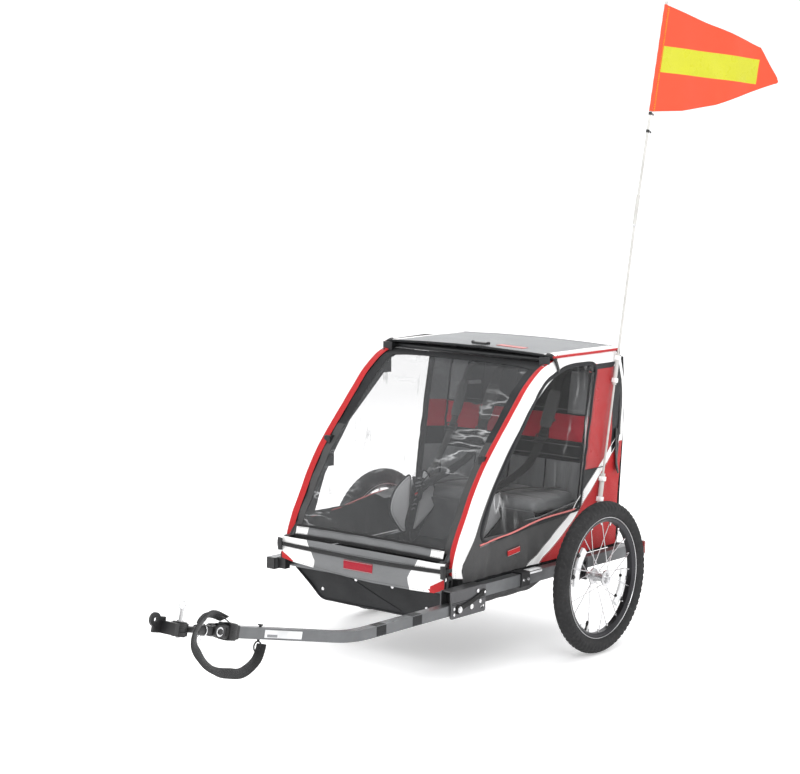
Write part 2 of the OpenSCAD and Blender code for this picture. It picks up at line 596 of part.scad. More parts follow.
module flag() {
    s1 = 558; s0 = s1 - flag_h;
    color("orangered") place() at_upper() rotate([0, 0, 75.5]) {
        difference() {
            union() {
                translate([0, 0, s0]) cylinder(h = flag_h, r = 4.8);
                translate([0, 0.8, 0]) rotate([90, 0, 0]) linear_extrude(height = 1.6)
                    polygon([[3.9, s0], [3.9, s1], [100, s1 - 22], [220, s1 - 50], [flag_len - 20, s1 - 92],
                             [flag_len, s1 - 102], [flag_len - 20, s1 - 112], [240, s0 + 72], [110, s0 + 26]]);
            }
            translate([0, 0, s0 - 1]) cylinder(h = flag_h + 2, r = pole_r + 0.08);
        }
    }
}
module rear_reflectors() {
    color("red") place() for (s = [1, -1]) side(s) {
        xz_plate(rail_y0 + rail_len + 4, rail_y0 + rail_len + 12) rrect(rail_x - 22, rail_x + 22, 206, 244, 6);
    }
}

rail_left();
rail_right();
cross_tubes();
rail_fittings();
axle_sockets();
tow_bracket();
bracket_bolts();
retention_strap();
floor_tub();
front_flap();
flap_elastic();
seat_base();
seat_back();
harness();
harness_buckle();
rear_panel();
side_panel_left();
side_panel_right();
side_windows();
sleeve_left();
sleeve_right();
rail_hinges();
rail_hinge_pins();
flag_holder();
rear_reflectors();
legs_lower_left();
knee_pins_left();
legs_upper_left();
legs_lower_right();
knee_pins_right();
legs_upper_right();
roof_frame();
roof_panel();
roof_hinge_pins();
roof_toggle();
front_cover();
cover_border();
cover_elastic();
axle_left();
button_left();
hub_left();
spokes_left();
rim_left();
tyre_left();
axle_right();
button_right();
hub_right();
spokes_right();
rim_right();
tyre_right();
tow_arm();
lock_pin();
hitch_receiver();
hitch_coupler();
axle_adaptor();
hitch_pin();
safety_strap();
pole_lower();
pole_upper();
flag();
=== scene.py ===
import bpy, math
import numpy as np
from mathutils import Vector, Matrix, noise
from mathutils.geometry import delaunay_2d_cdt


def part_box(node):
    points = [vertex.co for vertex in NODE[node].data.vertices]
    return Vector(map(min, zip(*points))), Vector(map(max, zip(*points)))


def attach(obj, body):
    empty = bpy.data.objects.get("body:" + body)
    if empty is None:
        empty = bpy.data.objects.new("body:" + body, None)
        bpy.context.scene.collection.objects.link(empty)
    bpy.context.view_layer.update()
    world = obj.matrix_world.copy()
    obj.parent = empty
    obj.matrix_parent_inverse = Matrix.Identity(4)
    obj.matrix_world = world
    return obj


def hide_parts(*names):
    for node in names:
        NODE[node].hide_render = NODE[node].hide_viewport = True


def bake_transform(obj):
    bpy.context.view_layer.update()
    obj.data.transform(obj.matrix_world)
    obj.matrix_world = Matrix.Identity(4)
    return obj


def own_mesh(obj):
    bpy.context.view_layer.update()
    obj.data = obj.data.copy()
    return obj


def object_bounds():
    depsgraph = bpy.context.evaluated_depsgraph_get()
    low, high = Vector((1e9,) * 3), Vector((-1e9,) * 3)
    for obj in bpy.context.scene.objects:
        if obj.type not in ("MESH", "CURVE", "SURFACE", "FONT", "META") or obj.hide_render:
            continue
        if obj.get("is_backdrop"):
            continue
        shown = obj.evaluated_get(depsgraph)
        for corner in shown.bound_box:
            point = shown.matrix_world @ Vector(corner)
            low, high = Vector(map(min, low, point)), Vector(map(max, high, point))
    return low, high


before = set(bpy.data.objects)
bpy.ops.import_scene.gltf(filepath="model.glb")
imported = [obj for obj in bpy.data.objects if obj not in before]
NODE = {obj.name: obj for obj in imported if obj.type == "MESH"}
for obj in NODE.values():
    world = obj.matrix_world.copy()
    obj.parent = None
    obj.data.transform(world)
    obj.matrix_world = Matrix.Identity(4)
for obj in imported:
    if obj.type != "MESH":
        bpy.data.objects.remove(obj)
CAD_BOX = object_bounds()

# ------------------------------------------------------------------ frame
# Lists below are millimetres: X to the trailer's left, Y back from the wheel axle, Z up from the ground.
_lo, _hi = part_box("tyre_left")
AXLE_Y = (_lo.y + _hi.y) / 2
WHEEL_X = (_lo.x + _hi.x) / 2
WHEEL_Z = (_lo.z + _hi.z) / 2
WHEEL_R = (_hi.z - _lo.z) / 2
OFF = np.array([0.0, AXLE_Y, 0.0])


def V(x, y, z):
    return np.array([x / 1000, y / 1000, z / 1000]) + OFF


def PL(pts):
    return np.array([V(*p) for p in pts])


# ------------------------------------------------------------------ camera
def camera():
    yaw, pitch, roll = (math.radians(a) for a in (37.9584, 7.1508, 1.1413))
    d = Vector((-math.sin(yaw) * math.cos(pitch), math.cos(yaw) * math.cos(pitch), -math.sin(pitch)))
    r = d.cross(Vector((0, 0, 1))).normalized()
    u = r.cross(d)
    right = r * math.cos(roll) + u * math.sin(roll)
    up = -r * math.sin(roll) + u * math.cos(roll)
    cam = bpy.data.cameras.new("camera")
    cam.sensor_width = 36
    cam.lens = 36 * 2139.77 / 800
    cam.clip_end = 200
    ob = bpy.data.objects.new("camera", cam)
    bpy.context.scene.collection.objects.link(ob)
    m = Matrix.Identity(4)
    for i, a in enumerate((right, up, -d)):
        for k in range(3):
            m[k][i] = a[k]
    c = V(3309.8, -4630.7, 1372.7)
    for k in range(3):
        m[k][3] = c[k]
    ob.matrix_world = m
    bpy.context.scene.camera = ob


camera()


# ------------------------------------------------------------------ curve and mesh tools
def resample(P, n, closed=False):
    P = np.array(P, float)
    if closed:
        P = np.vstack([P, P[0]])
    s = np.r_[0, np.cumsum(np.linalg.norm(np.diff(P, axis=0), axis=1))]
    t = np.linspace(0, s[-1], n + 1 if closed else n)
    R = np.array([np.interp(t, s, P[:, k]) for k in range(P.shape[1])]).T
    return R[:-1] if closed else R


def curve(pts, n, closed=False):
    P = np.array(pts, float)
    if closed:
        Q = np.vstack([P[-1], P, P[0], P[1]])
        m = len(P)
    else:
        Q = np.vstack([2 * P[0] - P[1], P, 2 * P[-1] - P[-2]])
        m = len(P) - 1
    out = []
    for i in range(m):
        p0, p1, p2, p3 = Q[i:i + 4]
        for j in range(14):
            t = j / 14
            out.append(0.5 * (2 * p1 + (p2 - p0) * t + (2 * p0 - 5 * p1 + 4 * p2 - p3) * t * t + (3 * p1 - p0 - 3 * p2 + p3) * t ** 3))
    if not closed:
        out.append(P[-1])
    return resample(out, n, closed)


def length(P):
    return float(np.linalg.norm(np.diff(np.array(P), axis=0), axis=1).sum())


def unit(v):
    v = np.array(v, float)
    return v / max(1e-12, np.linalg.norm(v))


def nz(p, s, seed=0.0):
    return noise.noise(Vector((p[0] * s + seed, p[1] * s - seed, p[2] * s + 2 * seed)))


def build(name, verts, faces, mats, fmat=None, angle=42, smooth=True):
    me = bpy.data.meshes.new(name)
    me.from_pydata([tuple(map(float, v)) for v in verts], [], [tuple(map(int, f)) for f in faces])
    mats = mats if isinstance(mats, (list, tuple)) else [mats]
    for m in mats:
        me.materials.append(m)
    if fmat is not None:
        me.polygons.foreach_set("material_index", np.array(fmat, np.int32))
    me.update()
    if smooth:
        me.shade_smooth()
        me.set_sharp_from_angle(angle=math.radians(angle))
    ob = bpy.data.objects.new(name, me)
    bpy.context.scene.collection.objects.link(ob)
    return ob


class Soup:
    """Several shapes gathered into one mesh."""

    def __init__(self):
        self.v, self.f, self.m = [], [], []

    def add(self, verts, faces, mat=0):
        o = len(self.v)
        self.v += [tuple(map(float, x)) for x in verts]
        self.f += [tuple(int(i) + o for i in f) for f in faces]
        self.m += [mat] * len(faces) if np.isscalar(mat) else list(mat)
        return self

    def make(self, name, mats, angle=42):
        return build(name, self.v, self.f, mats, self.m, angle)


def tangents(P, closed=False):
    P = np.array(P)
    if closed:
        T = np.roll(P, -1, 0) - np.roll(P, 1, 0)
    else:
        T = np.gradient(P, axis=0)
    return T / np.maximum(1e-12, np.linalg.norm(T, axis=1))[:, None]


def sweep(P, prof, up=None, closed=False, cap=True):
    """(verts, faces) of a profile [(a, b)] carried along P; b points along up. prof may be one list or one per point."""
    P = np.array(P, float)
    T = tangents(P, closed)
    n = len(P)
    if up is None:
        a = np.array([0, 0, 1.0]) if abs(T[0][2]) < 0.9 else np.array([1.0, 0, 0])
        U = [unit(a - T[0] * a.dot(T[0]))]
        for i in range(1, n):
            b = U[-1] - T[i] * U[-1].dot(T[i])
            U.append(unit(b))
        U = np.array(U)
    else:
        up = np.array(up, float)
        if up.ndim == 1:
            up = np.tile(up, (n, 1))
        U = np.array([unit(up[i] - T[i] * up[i].dot(T[i])) for i in range(n)])
    A = np.cross(T, U)
    one = not (isinstance(prof[0][0], (list, tuple, np.ndarray)))
    m = len(prof) if one else len(prof[0])
    verts = []
    for i in range(n):
        pr = prof if one else prof[i]
        for a, b in pr:
            verts.append(P[i] + A[i] * a + U[i] * b)
    faces = []
    for i in range(n if closed else n - 1):
        j = (i + 1) % n
        for k in range(m):
            l = (k + 1) % m
            faces.append((i * m + k, j * m + k, j * m + l, i * m + l))
    if cap and not closed:
        faces.append(tuple(range(m)))
        faces.append(tuple((n - 1) * m + k for k in reversed(range(m))))
    return verts, faces


def ring(r, k=10, ph=0.0):
    return [(r * math.cos(2 * math.pi * i / k + ph), r * math.sin(2 * math.pi * i / k + ph)) for i in range(k)]


def flat(w, t, e=None):
    """Rounded strap profile, w wide and t thick."""
    a, b = w / 2, t / 2
    e = min(b, a) if e is None else e
    return [(-a, -b * .35), (-a, b * .35), (-a + e * .8, b), (0, b * 1.02), (a - e * .8, b), (a, b * .35), (a, -b * .35), (a - e * .8, -b), (0, -b * 1.02), (-a + e * .8, -b)]


def tube(name, P, r, mat, k=12, closed=False):
    v, f = sweep(P, ring(r, k), closed=closed)
    return build(name, v, f, mat)


def strap(name, P, w, t, mat, up=None, closed=False):
    v, f = sweep(P, flat(w, t), up=up, closed=closed)
    return build(name, v, f, mat)


def grid(name, F, us, vs, thick, mats, zone=None, inner=None, angle=60):
    """A cloth sheet over a grid of F(u, v), with thickness, colour zones by cell and a lining."""
    us, vs = np.array(us, float), np.array(vs, float)
    P = np.array([[F(u, v) for v in vs] for u in us])
    du, dv = np.gradient(P, axis=0), np.gradient(P, axis=1)
    Nn = np.cross(du, dv)
    Nn /= np.maximum(1e-12, np.linalg.norm(Nn, axis=2))[:, :, None]
    a, b = len(us), len(vs)
    out, inn = (P + Nn * thick / 2).reshape(-1, 3), (P - Nn * thick / 2).reshape(-1, 3)
    verts = np.vstack([out, inn])
    o = a * b
    faces, fm = [], []
    for i in range(a - 1):
        for j in range(b - 1):
            z = zone((us[i] + us[i + 1]) / 2, (vs[j] + vs[j + 1]) / 2) if zone else 0
            q = (i * b + j, (i + 1) * b + j, (i + 1) * b + j + 1, i * b + j + 1)
            faces.append(q); fm.append(z)
            faces.append(tuple(o + x for x in reversed(q))); fm.append(z if inner is None else inner)
    edge = [(i, 0) for i in range(a)] + [(a - 1, j) for j in range(1, b)] + [(i, b - 1) for i in range(a - 2, -1, -1)] + [(0, j) for j in range(b - 2, 0, -1)]
    for k in range(len(edge)):
        p, q = edge[k], edge[(k + 1) % len(edge)]
        ip, iq = p[0] * b + p[1], q[0] * b + q[1]
        faces.append((iq, ip, o + ip, o + iq)); fm.append(0 if inner is None else inner)
    if thick < 0:
        faces = [f[::-1] for f in faces]
    return build(name, verts, faces, mats, fm, angle)


def inside(poly, X, Y):
    poly = np.array(poly, float)
    c = np.zeros(len(X), bool)
    x1, y1 = poly[:, 0], poly[:, 1]
    x2, y2 = np.roll(x1, -1), np.roll(y1, -1)
    for a, b, p, q in zip(x1, y1, x2, y2):
        if b == q:
            continue
        hit = ((b > Y) != (q > Y)) & (X < (p - a) * (Y - b) / (q - b) + a)
        c ^= hit
    return c


def seg_dist(lines, X, Y):
    d = np.full(len(X), 1e9)
    for L in lines:
        L = np.array(L, float)
        for a, b in zip(L[:-1], L[1:]):
            ab = b - a
            t = np.clip(((X - a[0]) * ab[0] + (Y - a[1]) * ab[1]) / max(1e-9, ab.dot(ab)), 0, 1)
            d = np.minimum(d, np.hypot(X - a[0] - t * ab[0], Y - a[1] - t * ab[1]))
    return d


def divide(L, step, closed):
    L = [np.array(p, float) for p in L]
    if closed:
        L = L + [L[0]]
    out = []
    for a, b in zip(L[:-1], L[1:]):
        k = max(1, int(math.ceil(np.linalg.norm(b - a) / step)))
        for i in range(k):
            out.append(a + (b - a) * i / k)
    if not closed:
        out.append(L[-1])
    return out


def cloth(name, outline, F, step, thick, mats, holes=(), cuts=(), zone=None, inner=None, angle=60):
    """A sheet cut to a 2D outline (mm), with holes and colour boundaries, laid in 3D by F(a, b)."""
    pts, edges = [], []

    def put(L, closed):
        L = divide(L, step, closed)
        o = len(pts)
        pts.extend(L)
        edges.extend((o + i, o + i + 1) for i in range(len(L) - 1))
        if closed:
            edges.append((o + len(L) - 1, o))

    put(outline, True)
    for h in holes:
        put(h, True)
    for c in cuts:
        put(c, False)
    allp = np.array(outline, float)
    x0, y0 = allp.min(0)
    x1, y1 = allp.max(0)
    gx, gy = np.meshgrid(np.arange(x0 + step / 2, x1, step), np.arange(y0 + step / 2, y1, step * .9))
    gx[::2] += step / 2
    X, Y = gx.ravel(), gy.ravel()
    keep = inside(outline, X, Y)
    for h in holes:
        keep &= ~inside(h, X, Y)
    X, Y = X[keep], Y[keep]
    lines = [list(outline) + [outline[0]]] + [list(h) + [h[0]] for h in holes] + [list(c) for c in cuts]
    keep = seg_dist(lines, X, Y) > step * .42
    X, Y = X[keep], Y[keep]
    pts2 = [Vector((float(p[0]), float(p[1]))) for p in pts] + [Vector((float(a), float(b))) for a, b in zip(X, Y)]
    vs, es, fs, _, _, _ = delaunay_2d_cdt(pts2, edges, [], 0, 1e-4)
    W = np.array([(v.x, v.y) for v in vs])
    T = np.array([f for f in fs if len(f) == 3], int)
    C = W[T].mean(1)
    ok = inside(outline, C[:, 0], C[:, 1])
    for h in holes:
        ok &= ~inside(h, C[:, 0], C[:, 1])
    T, C = T[ok], C[ok]
    used = np.unique(T)
    re = -np.ones(len(W), int)
    re[used] = np.arange(len(used))
    T, W = re[T], W[used]
    P = np.array([F(a, b) for a, b in W])
    fn = np.cross(P[T[:, 1]] - P[T[:, 0]], P[T[:, 2]] - P[T[:, 0]])
    Nn = np.zeros_like(P)
    for k in range(3):
        np.add.at(Nn, T[:, k], fn)
    Nn /= np.maximum(1e-15, np.linalg.norm(Nn, axis=1))[:, None]
    n = len(P)
    verts = np.vstack([P + Nn * thick / 2, P - Nn * thick / 2])
    z = [zone(a, b) for a, b in C] if zone else [0] * len(T)
    faces = [tuple(t) for t in T] + [tuple(n + i for i in reversed(t)) for t in T]
    fm = list(z) + [zz if inner is None else inner for zz in z]
    count = {}
    for t in T:
        for k in range(3):
            a, b = int(t[k]), int(t[(k + 1) % 3])
            count[(a, b)] = 1
    for (a, b) in list(count):
        if (b, a) not in count:
            faces.append((b, a, n + a, n + b))
            fm.append(0 if inner is None else inner)
    if thick < 0:
        faces = [f[::-1] for f in faces]
    ob = build(name, verts, faces, mats, fm, angle)
    ob["flat_area"] = float(np.linalg.norm(fn, axis=1).sum() / 2)
    return ob


def stitches(P, normal, mat_i, soup, pitch=5.0, dash=3.2, r=.45):
    """A row of thread stitches along P (metres), lying on a surface with that normal."""
    L = length(P)
    n = max(2, int(L * 1000 / pitch))
    Q = resample(P, n * 2 + 1)
    for i in range(n):
        a, b = Q[2 * i], Q[2 * i + 1]
        m = (a + b) / 2
        h = unit(b - a) * dash / 2000
        up = np.array(normal, float) * (r / 1000) * .9
        v, f = sweep([m - h, m - h * .5 + up, m + h * .5 + up, m + h], ring(r / 1000, 5))
        soup.add(v, f, mat_i)


# ------------------------------------------------------------------ materials
class Mat:
    def __init__(self, name, rough=.6, metal=0.0, spec=.5, sheen=0.0, coat=0.0, aniso=0.0, coat_rough=.1):
        self.m = bpy.data.materials.new(name)
        self.m.use_nodes = True
        self.t = self.m.node_tree
        self.b = self.t.nodes["Principled BSDF"]
        s = self.b.inputs
        s["Roughness"].default_value = rough
        s["Metallic"].default_value = metal
        s["Specular IOR Level"].default_value = spec
        s["Sheen Weight"].default_value = sheen
        s["Sheen Roughness"].default_value = .4
        s["Coat Weight"].default_value = coat
        s["Coat Roughness"].default_value = coat_rough
        s["Anisotropic"].default_value = aniso
        self.co = self.t.nodes.new("ShaderNodeTexCoord").outputs["Object"]

    def n(self, kind, **k):
        x = self.t.nodes.new("ShaderNode" + kind)
        for a, b in k.items():
            if a in x.inputs:
                x.inputs[a].default_value = b
            else:
                setattr(x, a, b)
        return x

    def link(self, a, b):
        self.t.links.new(a, b)

    def mapped(self, scale=(1, 1, 1), rot=(0, 0, 0)):
        x = self.n("Mapping")
        x.inputs["Scale"].default_value = scale
        x.inputs["Rotation"].default_value = rot
        self.link(self.co, x.inputs["Vector"])
        return x.outputs[0]

    def noise(self, scale, detail=4, rough=.55, vec=None):
        x = self.n("TexNoise", Scale=scale, Detail=detail, Roughness=rough)
        self.link(vec or self.co, x.inputs["Vector"])
        return x.outputs["Fac"]

    def ramp(self, fac, stops):
        x = self.n("ValToRGB")
        r = x.color_ramp
        while len(r.elements) < len(stops):
            r.elements.new(.5)
        for e, (p, c) in zip(r.elements, stops):
            e.position = p
            e.color = (*c, 1) if len(c) == 3 else c
        self.link(fac, x.inputs["Fac"])
        return x.outputs["Color"]

    def mix(self, fac, a, b, mode="MIX"):
        x = self.n("MixRGB")
        x.blend_type = mode
        for s, val in (("Fac", fac), ("Color1", a), ("Color2", b)):
            if isinstance(val, (int, float)):
                x.inputs[s].default_value = val
            elif isinstance(val, tuple):
                x.inputs[s].default_value = (*val, 1)
            else:
                self.link(val, x.inputs[s])
        return x.outputs["Color"]

    def math(self, op, a, b=None, c=None):
        x = self.n("Math")
        x.operation = op
        for i, val in enumerate((a, b, c)):
            if val is None:
                continue
            if isinstance(val, (int, float)):
                x.inputs[i].default_value = val
            else:
                self.link(val, x.inputs[i])
        return x.outputs[0]

    def base(self, c):
        self.link(c, self.b.inputs["Base Color"])

    def rough(self, fac, lo, hi):
        x = self.n("MapRange")
        x.inputs["To Min"].default_value = lo
        x.inputs["To Max"].default_value = hi
        self.link(fac, x.inputs["Value"])
        self.link(x.outputs[0], self.b.inputs["Roughness"])

    def bump(self, h, dist=.0003, strength=.5):
        x = self.n("Bump")
        x.inputs["Strength"].default_value = strength
        x.inputs["Distance"].default_value = dist
        prev = self.b.inputs["Normal"].links
        self.link(h, x.inputs["Height"])
        if prev:
            self.link(prev[0].from_socket, x.inputs["Normal"])
        self.link(x.outputs[0], self.b.inputs["Normal"])


def shade(c, k):
    return tuple(min(1.0, x * k) for x in c)


def weave(M, period):
    """Height of a plain weave whose threads repeat every period (metres)."""
    a = M.n("TexWave", Scale=.628 / period, Distortion=.6)
    a.bands_direction = "DIAGONAL"
    a.inputs["Detail Scale"].default_value = 3
    M.link(M.co, a.inputs["Vector"])
    b = M.n("TexWave", Scale=.628 / period, Distortion=.6)
    b.bands_direction = "DIAGONAL"
    b.inputs["Detail Scale"].default_value = 3
    M.link(M.mapped((1, -1.15, .12)), b.inputs["Vector"])
    return M.math("MAXIMUM", a.outputs["Fac"], b.outputs["Fac"])


def fabric(name, col, dark=.72, light=1.12, rough=.8, sheen=.25, period=.0014, spec=.3, bump=.45, cloud=9, puckers=0.0, coat=0.0):
    M = Mat(name, rough, sheen=sheen, spec=spec, coat=coat, coat_rough=.35)
    w = weave(M, period)
    c = M.ramp(M.noise(cloud, 5), [(.3, shade(col, (1 + dark) / 2)), (.55, col), (.78, shade(col, light))])
    fine = M.noise(420, 3)
    c = M.mix(M.ramp(fine, [(.35, (.75,) * 3), (.7, (0,) * 3)]), c, shade(col, dark))
    # painted shade: the low threads of the weave are darkened
    c = M.mix(M.ramp(w, [(0.1, (.55,) * 3), (.8, (0,) * 3)]), c, shade(col, dark * .9))
    M.base(c)
    M.rough(M.noise(30, 4), rough - .1, min(1, rough + .12))
    M.bump(w, .00025, bump)
    if puckers:
        M.bump(M.noise(55, 3), .0022, puckers)
    return M.m


def plastic(name, col, rough=.42, spec=.5, grain=900, wear=.0, coat=0.0):
    M = Mat(name, rough, spec=spec, coat=coat)
    g = M.noise(grain, 3)
    c = M.ramp(M.noise(22, 5), [(.3, shade(col, .8)), (.6, col), (.85, shade(col, 1.25))])
    scuff = M.ramp(M.noise(95, 6, .7, M.mapped((1, .25, 1))), [(.66, (0,) * 3), (.78, (wear + .15,) * 3)])
    c = M.mix(scuff, c, shade(tuple(x + .05 for x in col), 1.7))
    M.base(c)
    M.rough(M.noise(40, 5), rough - .08, rough + .14)
    M.bump(g, .00012, .5)
    return M.m


def metal(name, col, rough=.28, brushed=(1, 1, 1), metallic=1.0, wear=(.5, .5, .5), spec=.5, aniso=.3, scratch=.5):
    M = Mat(name, rough, metallic, spec=spec, aniso=aniso)
    st = M.noise(260, 4, .6, M.mapped(brushed))
    c = M.ramp(M.noise(18, 5), [(.3, shade(col, .82)), (.6, col), (.9, shade(col, 1.14))])
    c = M.mix(M.ramp(M.noise(130, 6, .72), [(.68, (0,) * 3), (.8, (scratch,) * 3)]), c, wear)
    M.base(c)
    M.rough(st, rough - .07, rough + .14)
    M.bump(st, .00008, .5)
    return M.m


def rubber(name, col, rough=.72):
    M = Mat(name, rough, spec=.35)
    c = M.ramp(M.noise(35, 6), [(.3, shade(col, .75)), (.6, col), (.85, shade(col, 1.5))])
    dust = M.ramp(M.noise(140, 5, .7), [(.55, (0,) * 3), (.85, (.35,) * 3)])
    M.base(M.mix(dust, c, (.12, .115, .11)))
    M.rough(M.noise(50, 4), rough - .1, rough + .14)
    M.bump(M.noise(700, 3), .0002, .5)
    return M.m


def webbing(name, col, period=.0022, rough=.66):
    M = Mat(name, rough, spec=.35, sheen=.2)
    w = M.n("TexWave", Scale=.628 / period, Distortion=.4)
    w.bands_direction = "DIAGONAL"
    M.link(M.mapped((1, 1, 1.7)), w.inputs["Vector"])
    h = M.math("MAXIMUM", w.outputs["Fac"], weave(M, period * .6))
    c = M.ramp(M.noise(14, 5), [(.3, shade(col, .75)), (.6, col), (.85, shade(col, 1.35))])
    # painted shade: the hollows of the weave are darkened
    M.base(M.mix(M.ramp(h, [(.1, (.6,) * 3), (.85, (0,) * 3)]), c, shade(col, .4)))
    M.rough(M.noise(60, 4), rough - .1, rough + .15)
    M.bump(h, .0004, .7)
    return M.m


def vinyl(name, tint, a0, a1, scale=26, rough=.12, streak=(1, 1, .35), mask=4.0):
    """Clear film: a thin grey veil with a few creases painted pale as highlights."""
    M = Mat(name, rough, spec=.35, coat=0.0, coat_rough=.08)
    warp = M.noise(scale, 3, .5, M.mapped(streak))
    crease_highlight = M.ramp(warp, [(.475, (0,) * 3), (.5, (1,) * 3), (.525, (0,) * 3)])
    few = M.ramp(M.noise(mask, 3, .5), [(.5, (0,) * 3), (.66, (1,) * 3)])
    crease_highlight = M.math("MULTIPLY", crease_highlight, few)
    # painted highlight: along the creases the film is coloured pale grey and made less see-through
    M.base(M.mix(crease_highlight, tint, (.86, .87, .88)))
    x = M.n("MapRange")
    x.inputs["To Min"].default_value = a0
    x.inputs["To Max"].default_value = a1
    M.link(crease_highlight, x.inputs["Value"])
    M.link(x.outputs[0], M.b.inputs["Alpha"])
    M.rough(M.noise(12, 4), rough - .05, rough + .1)
    M.bump(M.noise(14, 3, .5, M.mapped(streak)), .003, .35)
    return M.m


RED = (.52, .013, .016)
m = {}
m["black"] = fabric("black_canvas", (.016, .017, .019), dark=.6, light=1.7, rough=.72, sheen=.12, period=.0013)
m["blackshine"] = fabric("black_nylon", (.014, .015, .017), dark=.6, light=1.9, rough=.42, sheen=.05, period=.001, puckers=.25)
m["mesh"] = fabric("black_mesh", (.02, .021, .023), dark=.4, light=1.6, rough=.85, period=.0026, bump=.8)
m["char"] = fabric("charcoal_canvas", (.068, .068, .069), dark=.6, light=1.5, rough=.6, sheen=.1, period=.0012, cloud=7)
m["grey"] = fabric("grey_canvas", (.27, .28, .29), dark=.7, light=1.2, rough=.75, period=.0013)
m["lgrey"] = fabric("light_grey_canvas", (.2, .205, .21), dark=.75, light=1.15, rough=.62, period=.0012, puckers=.15)
m["seat"] = fabric("seat_grey", (.17, .175, .18), dark=.6, light=1.5, rough=.72, period=.0015, puckers=.35)
m["pad"] = fabric("pad_grey", (.56, .565, .58), dark=.84, light=1.08, rough=.8, period=.0013, bump=.3)
m["red"] = fabric("red_canvas", RED, dark=.72, light=1.2, rough=.55, sheen=.1, period=.0012)
m["redshine"] = fabric("red_nylon", (.44, .008, .011), dark=.7, light=1.25, rough=.3, sheen=0.0, period=.001, puckers=.3, coat=.3)
m["redin"] = fabric("red_seat", (.42, .012, .03), dark=.6, light=1.3, rough=.7, period=.0015, puckers=.3)
m["white"] = fabric("white_canvas", (.93, .93, .925), dark=.9, light=1.05, rough=.6, sheen=.1, period=.0012, bump=.3, cloud=12)
m["pink"] = fabric("faded_red_piping", (.72, .2, .19), dark=.75, light=1.15, rough=.55, period=.0016)
m["thread"] = fabric("thread_pale", (.55, .55, .55), dark=.7, rough=.6, period=.0006)
m["threadk"] = fabric("thread_dark", (.05, .05, .052), dark=.6, rough=.6, period=.0006)
m["web"] = webbing("black_webbing", (.013, .013, .014))
m["webg"] = webbing("grey_webbing", (.2, .2, .21))
m["elastic"] = webbing("black_elastic", (.011, .011, .012), period=.0016, rough=.6)
m["orange"] = fabric("orange_flag_nylon", (.86, .075, .025), dark=.85, light=1.1, rough=.5, sheen=.15, period=.0012, spec=.35, bump=.3)
m["yellow"] = fabric("yellow_reflective_tape", (.6, .6, .01), dark=.85, light=1.08, rough=.28, sheen=0.0, period=.0026, bump=.5, coat=.4)
m["frame"] = metal("frame_grey_paint", (.15, .155, .16), rough=.34, metallic=.75, brushed=(1, .12, 1), wear=(.33, .33, .33), scratch=.25)
m["leg"] = metal("leg_black_paint", (.03, .031, .033), rough=.36, metallic=.4, wear=(.2, .2, .2), scratch=.2)
m["bracket"] = metal("bracket_grey_steel", (.1, .1, .104), rough=.38, metallic=.8, wear=(.42, .42, .42), scratch=.35)
m["steel"] = metal("bright_steel", (.72, .72, .73), rough=.2, brushed=(.3, 1, 1), wear=(.4, .4, .41), scratch=.4)
m["alu"] = metal("aluminium", (.66, .66, .67), rough=.26, brushed=(1, 1, .3), wear=(.5, .5, .51), scratch=.3)
m["rim"] = metal("rim_black_anodised", (.05, .05, .054), rough=.3, metallic=.9, wear=(.3, .3, .31), scratch=.3)
m["plastic"] = plastic("black_moulded_plastic", (.012, .012, .013), rough=.42)
m["redpl"] = plastic("red_moulded_plastic", (.6, .02, .02), rough=.3, grain=500)
m["rubber"] = rubber("black_rubber", (.014, .014, .014))
m["tyre"] = rubber("tyre_rubber", (.02, .02, .021), .78)
m["ivory"] = plastic("ivory_fibreglass", (.56, .555, .53), rough=.36, grain=350)
m["label"] = plastic("plain_pale_label", (.72, .73, .74), rough=.35, grain=1200)
m["reflect"] = plastic("clear_reflector", (.82, .83, .84), rough=.16, grain=250, coat=.6)
m["redref"] = plastic("red_reflector", (.2, .008, .008), rough=.14, grain=260, coat=.8)
m["vinylf"] = vinyl("clear_front_vinyl", (.2, .204, .21), .13, .4, scale=15, streak=(.35, .5, 1.6))
m["vinyls"] = vinyl("clear_side_vinyl", (.3, .3, .3), .035, .38, scale=9, streak=(1, 1.7, .3), mask=6.0)


def paint(nodes, mat):
    for n in nodes.split():
        o = NODE[n]
        o.data.materials.clear()
        o.data.materials.append(m[mat])


paint("rail_left rail_right cross_tubes tow_arm", "frame")
paint("rail_hinges axle_sockets axle_adaptor", "plastic")
paint("legs_lower_left legs_upper_left legs_lower_right legs_upper_right roof_frame", "leg")
paint("tow_bracket", "bracket")
paint("bracket_bolts rail_hinge_pins knee_pins_left knee_pins_right roof_hinge_pins lock_pin hitch_pin", "steel")
paint("rail_fittings roof_toggle hitch_receiver hitch_coupler", "plastic")
paint("axle_left axle_right hub_left hub_right spokes_left spokes_right", "alu")
paint("rim_left rim_right", "rim")
paint("button_left button_right", "steel")
paint("rear_reflectors", "redref")
paint("pole_lower pole_upper flag_holder", "ivory")


def done(ob, body, slot, *nodes, squash=None):
    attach(ob, body)
    if nodes:
        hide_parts(*nodes)
    if squash == "cage":
        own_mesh(ob)
    elif squash == "roof":
        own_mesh(ob)
    return ob


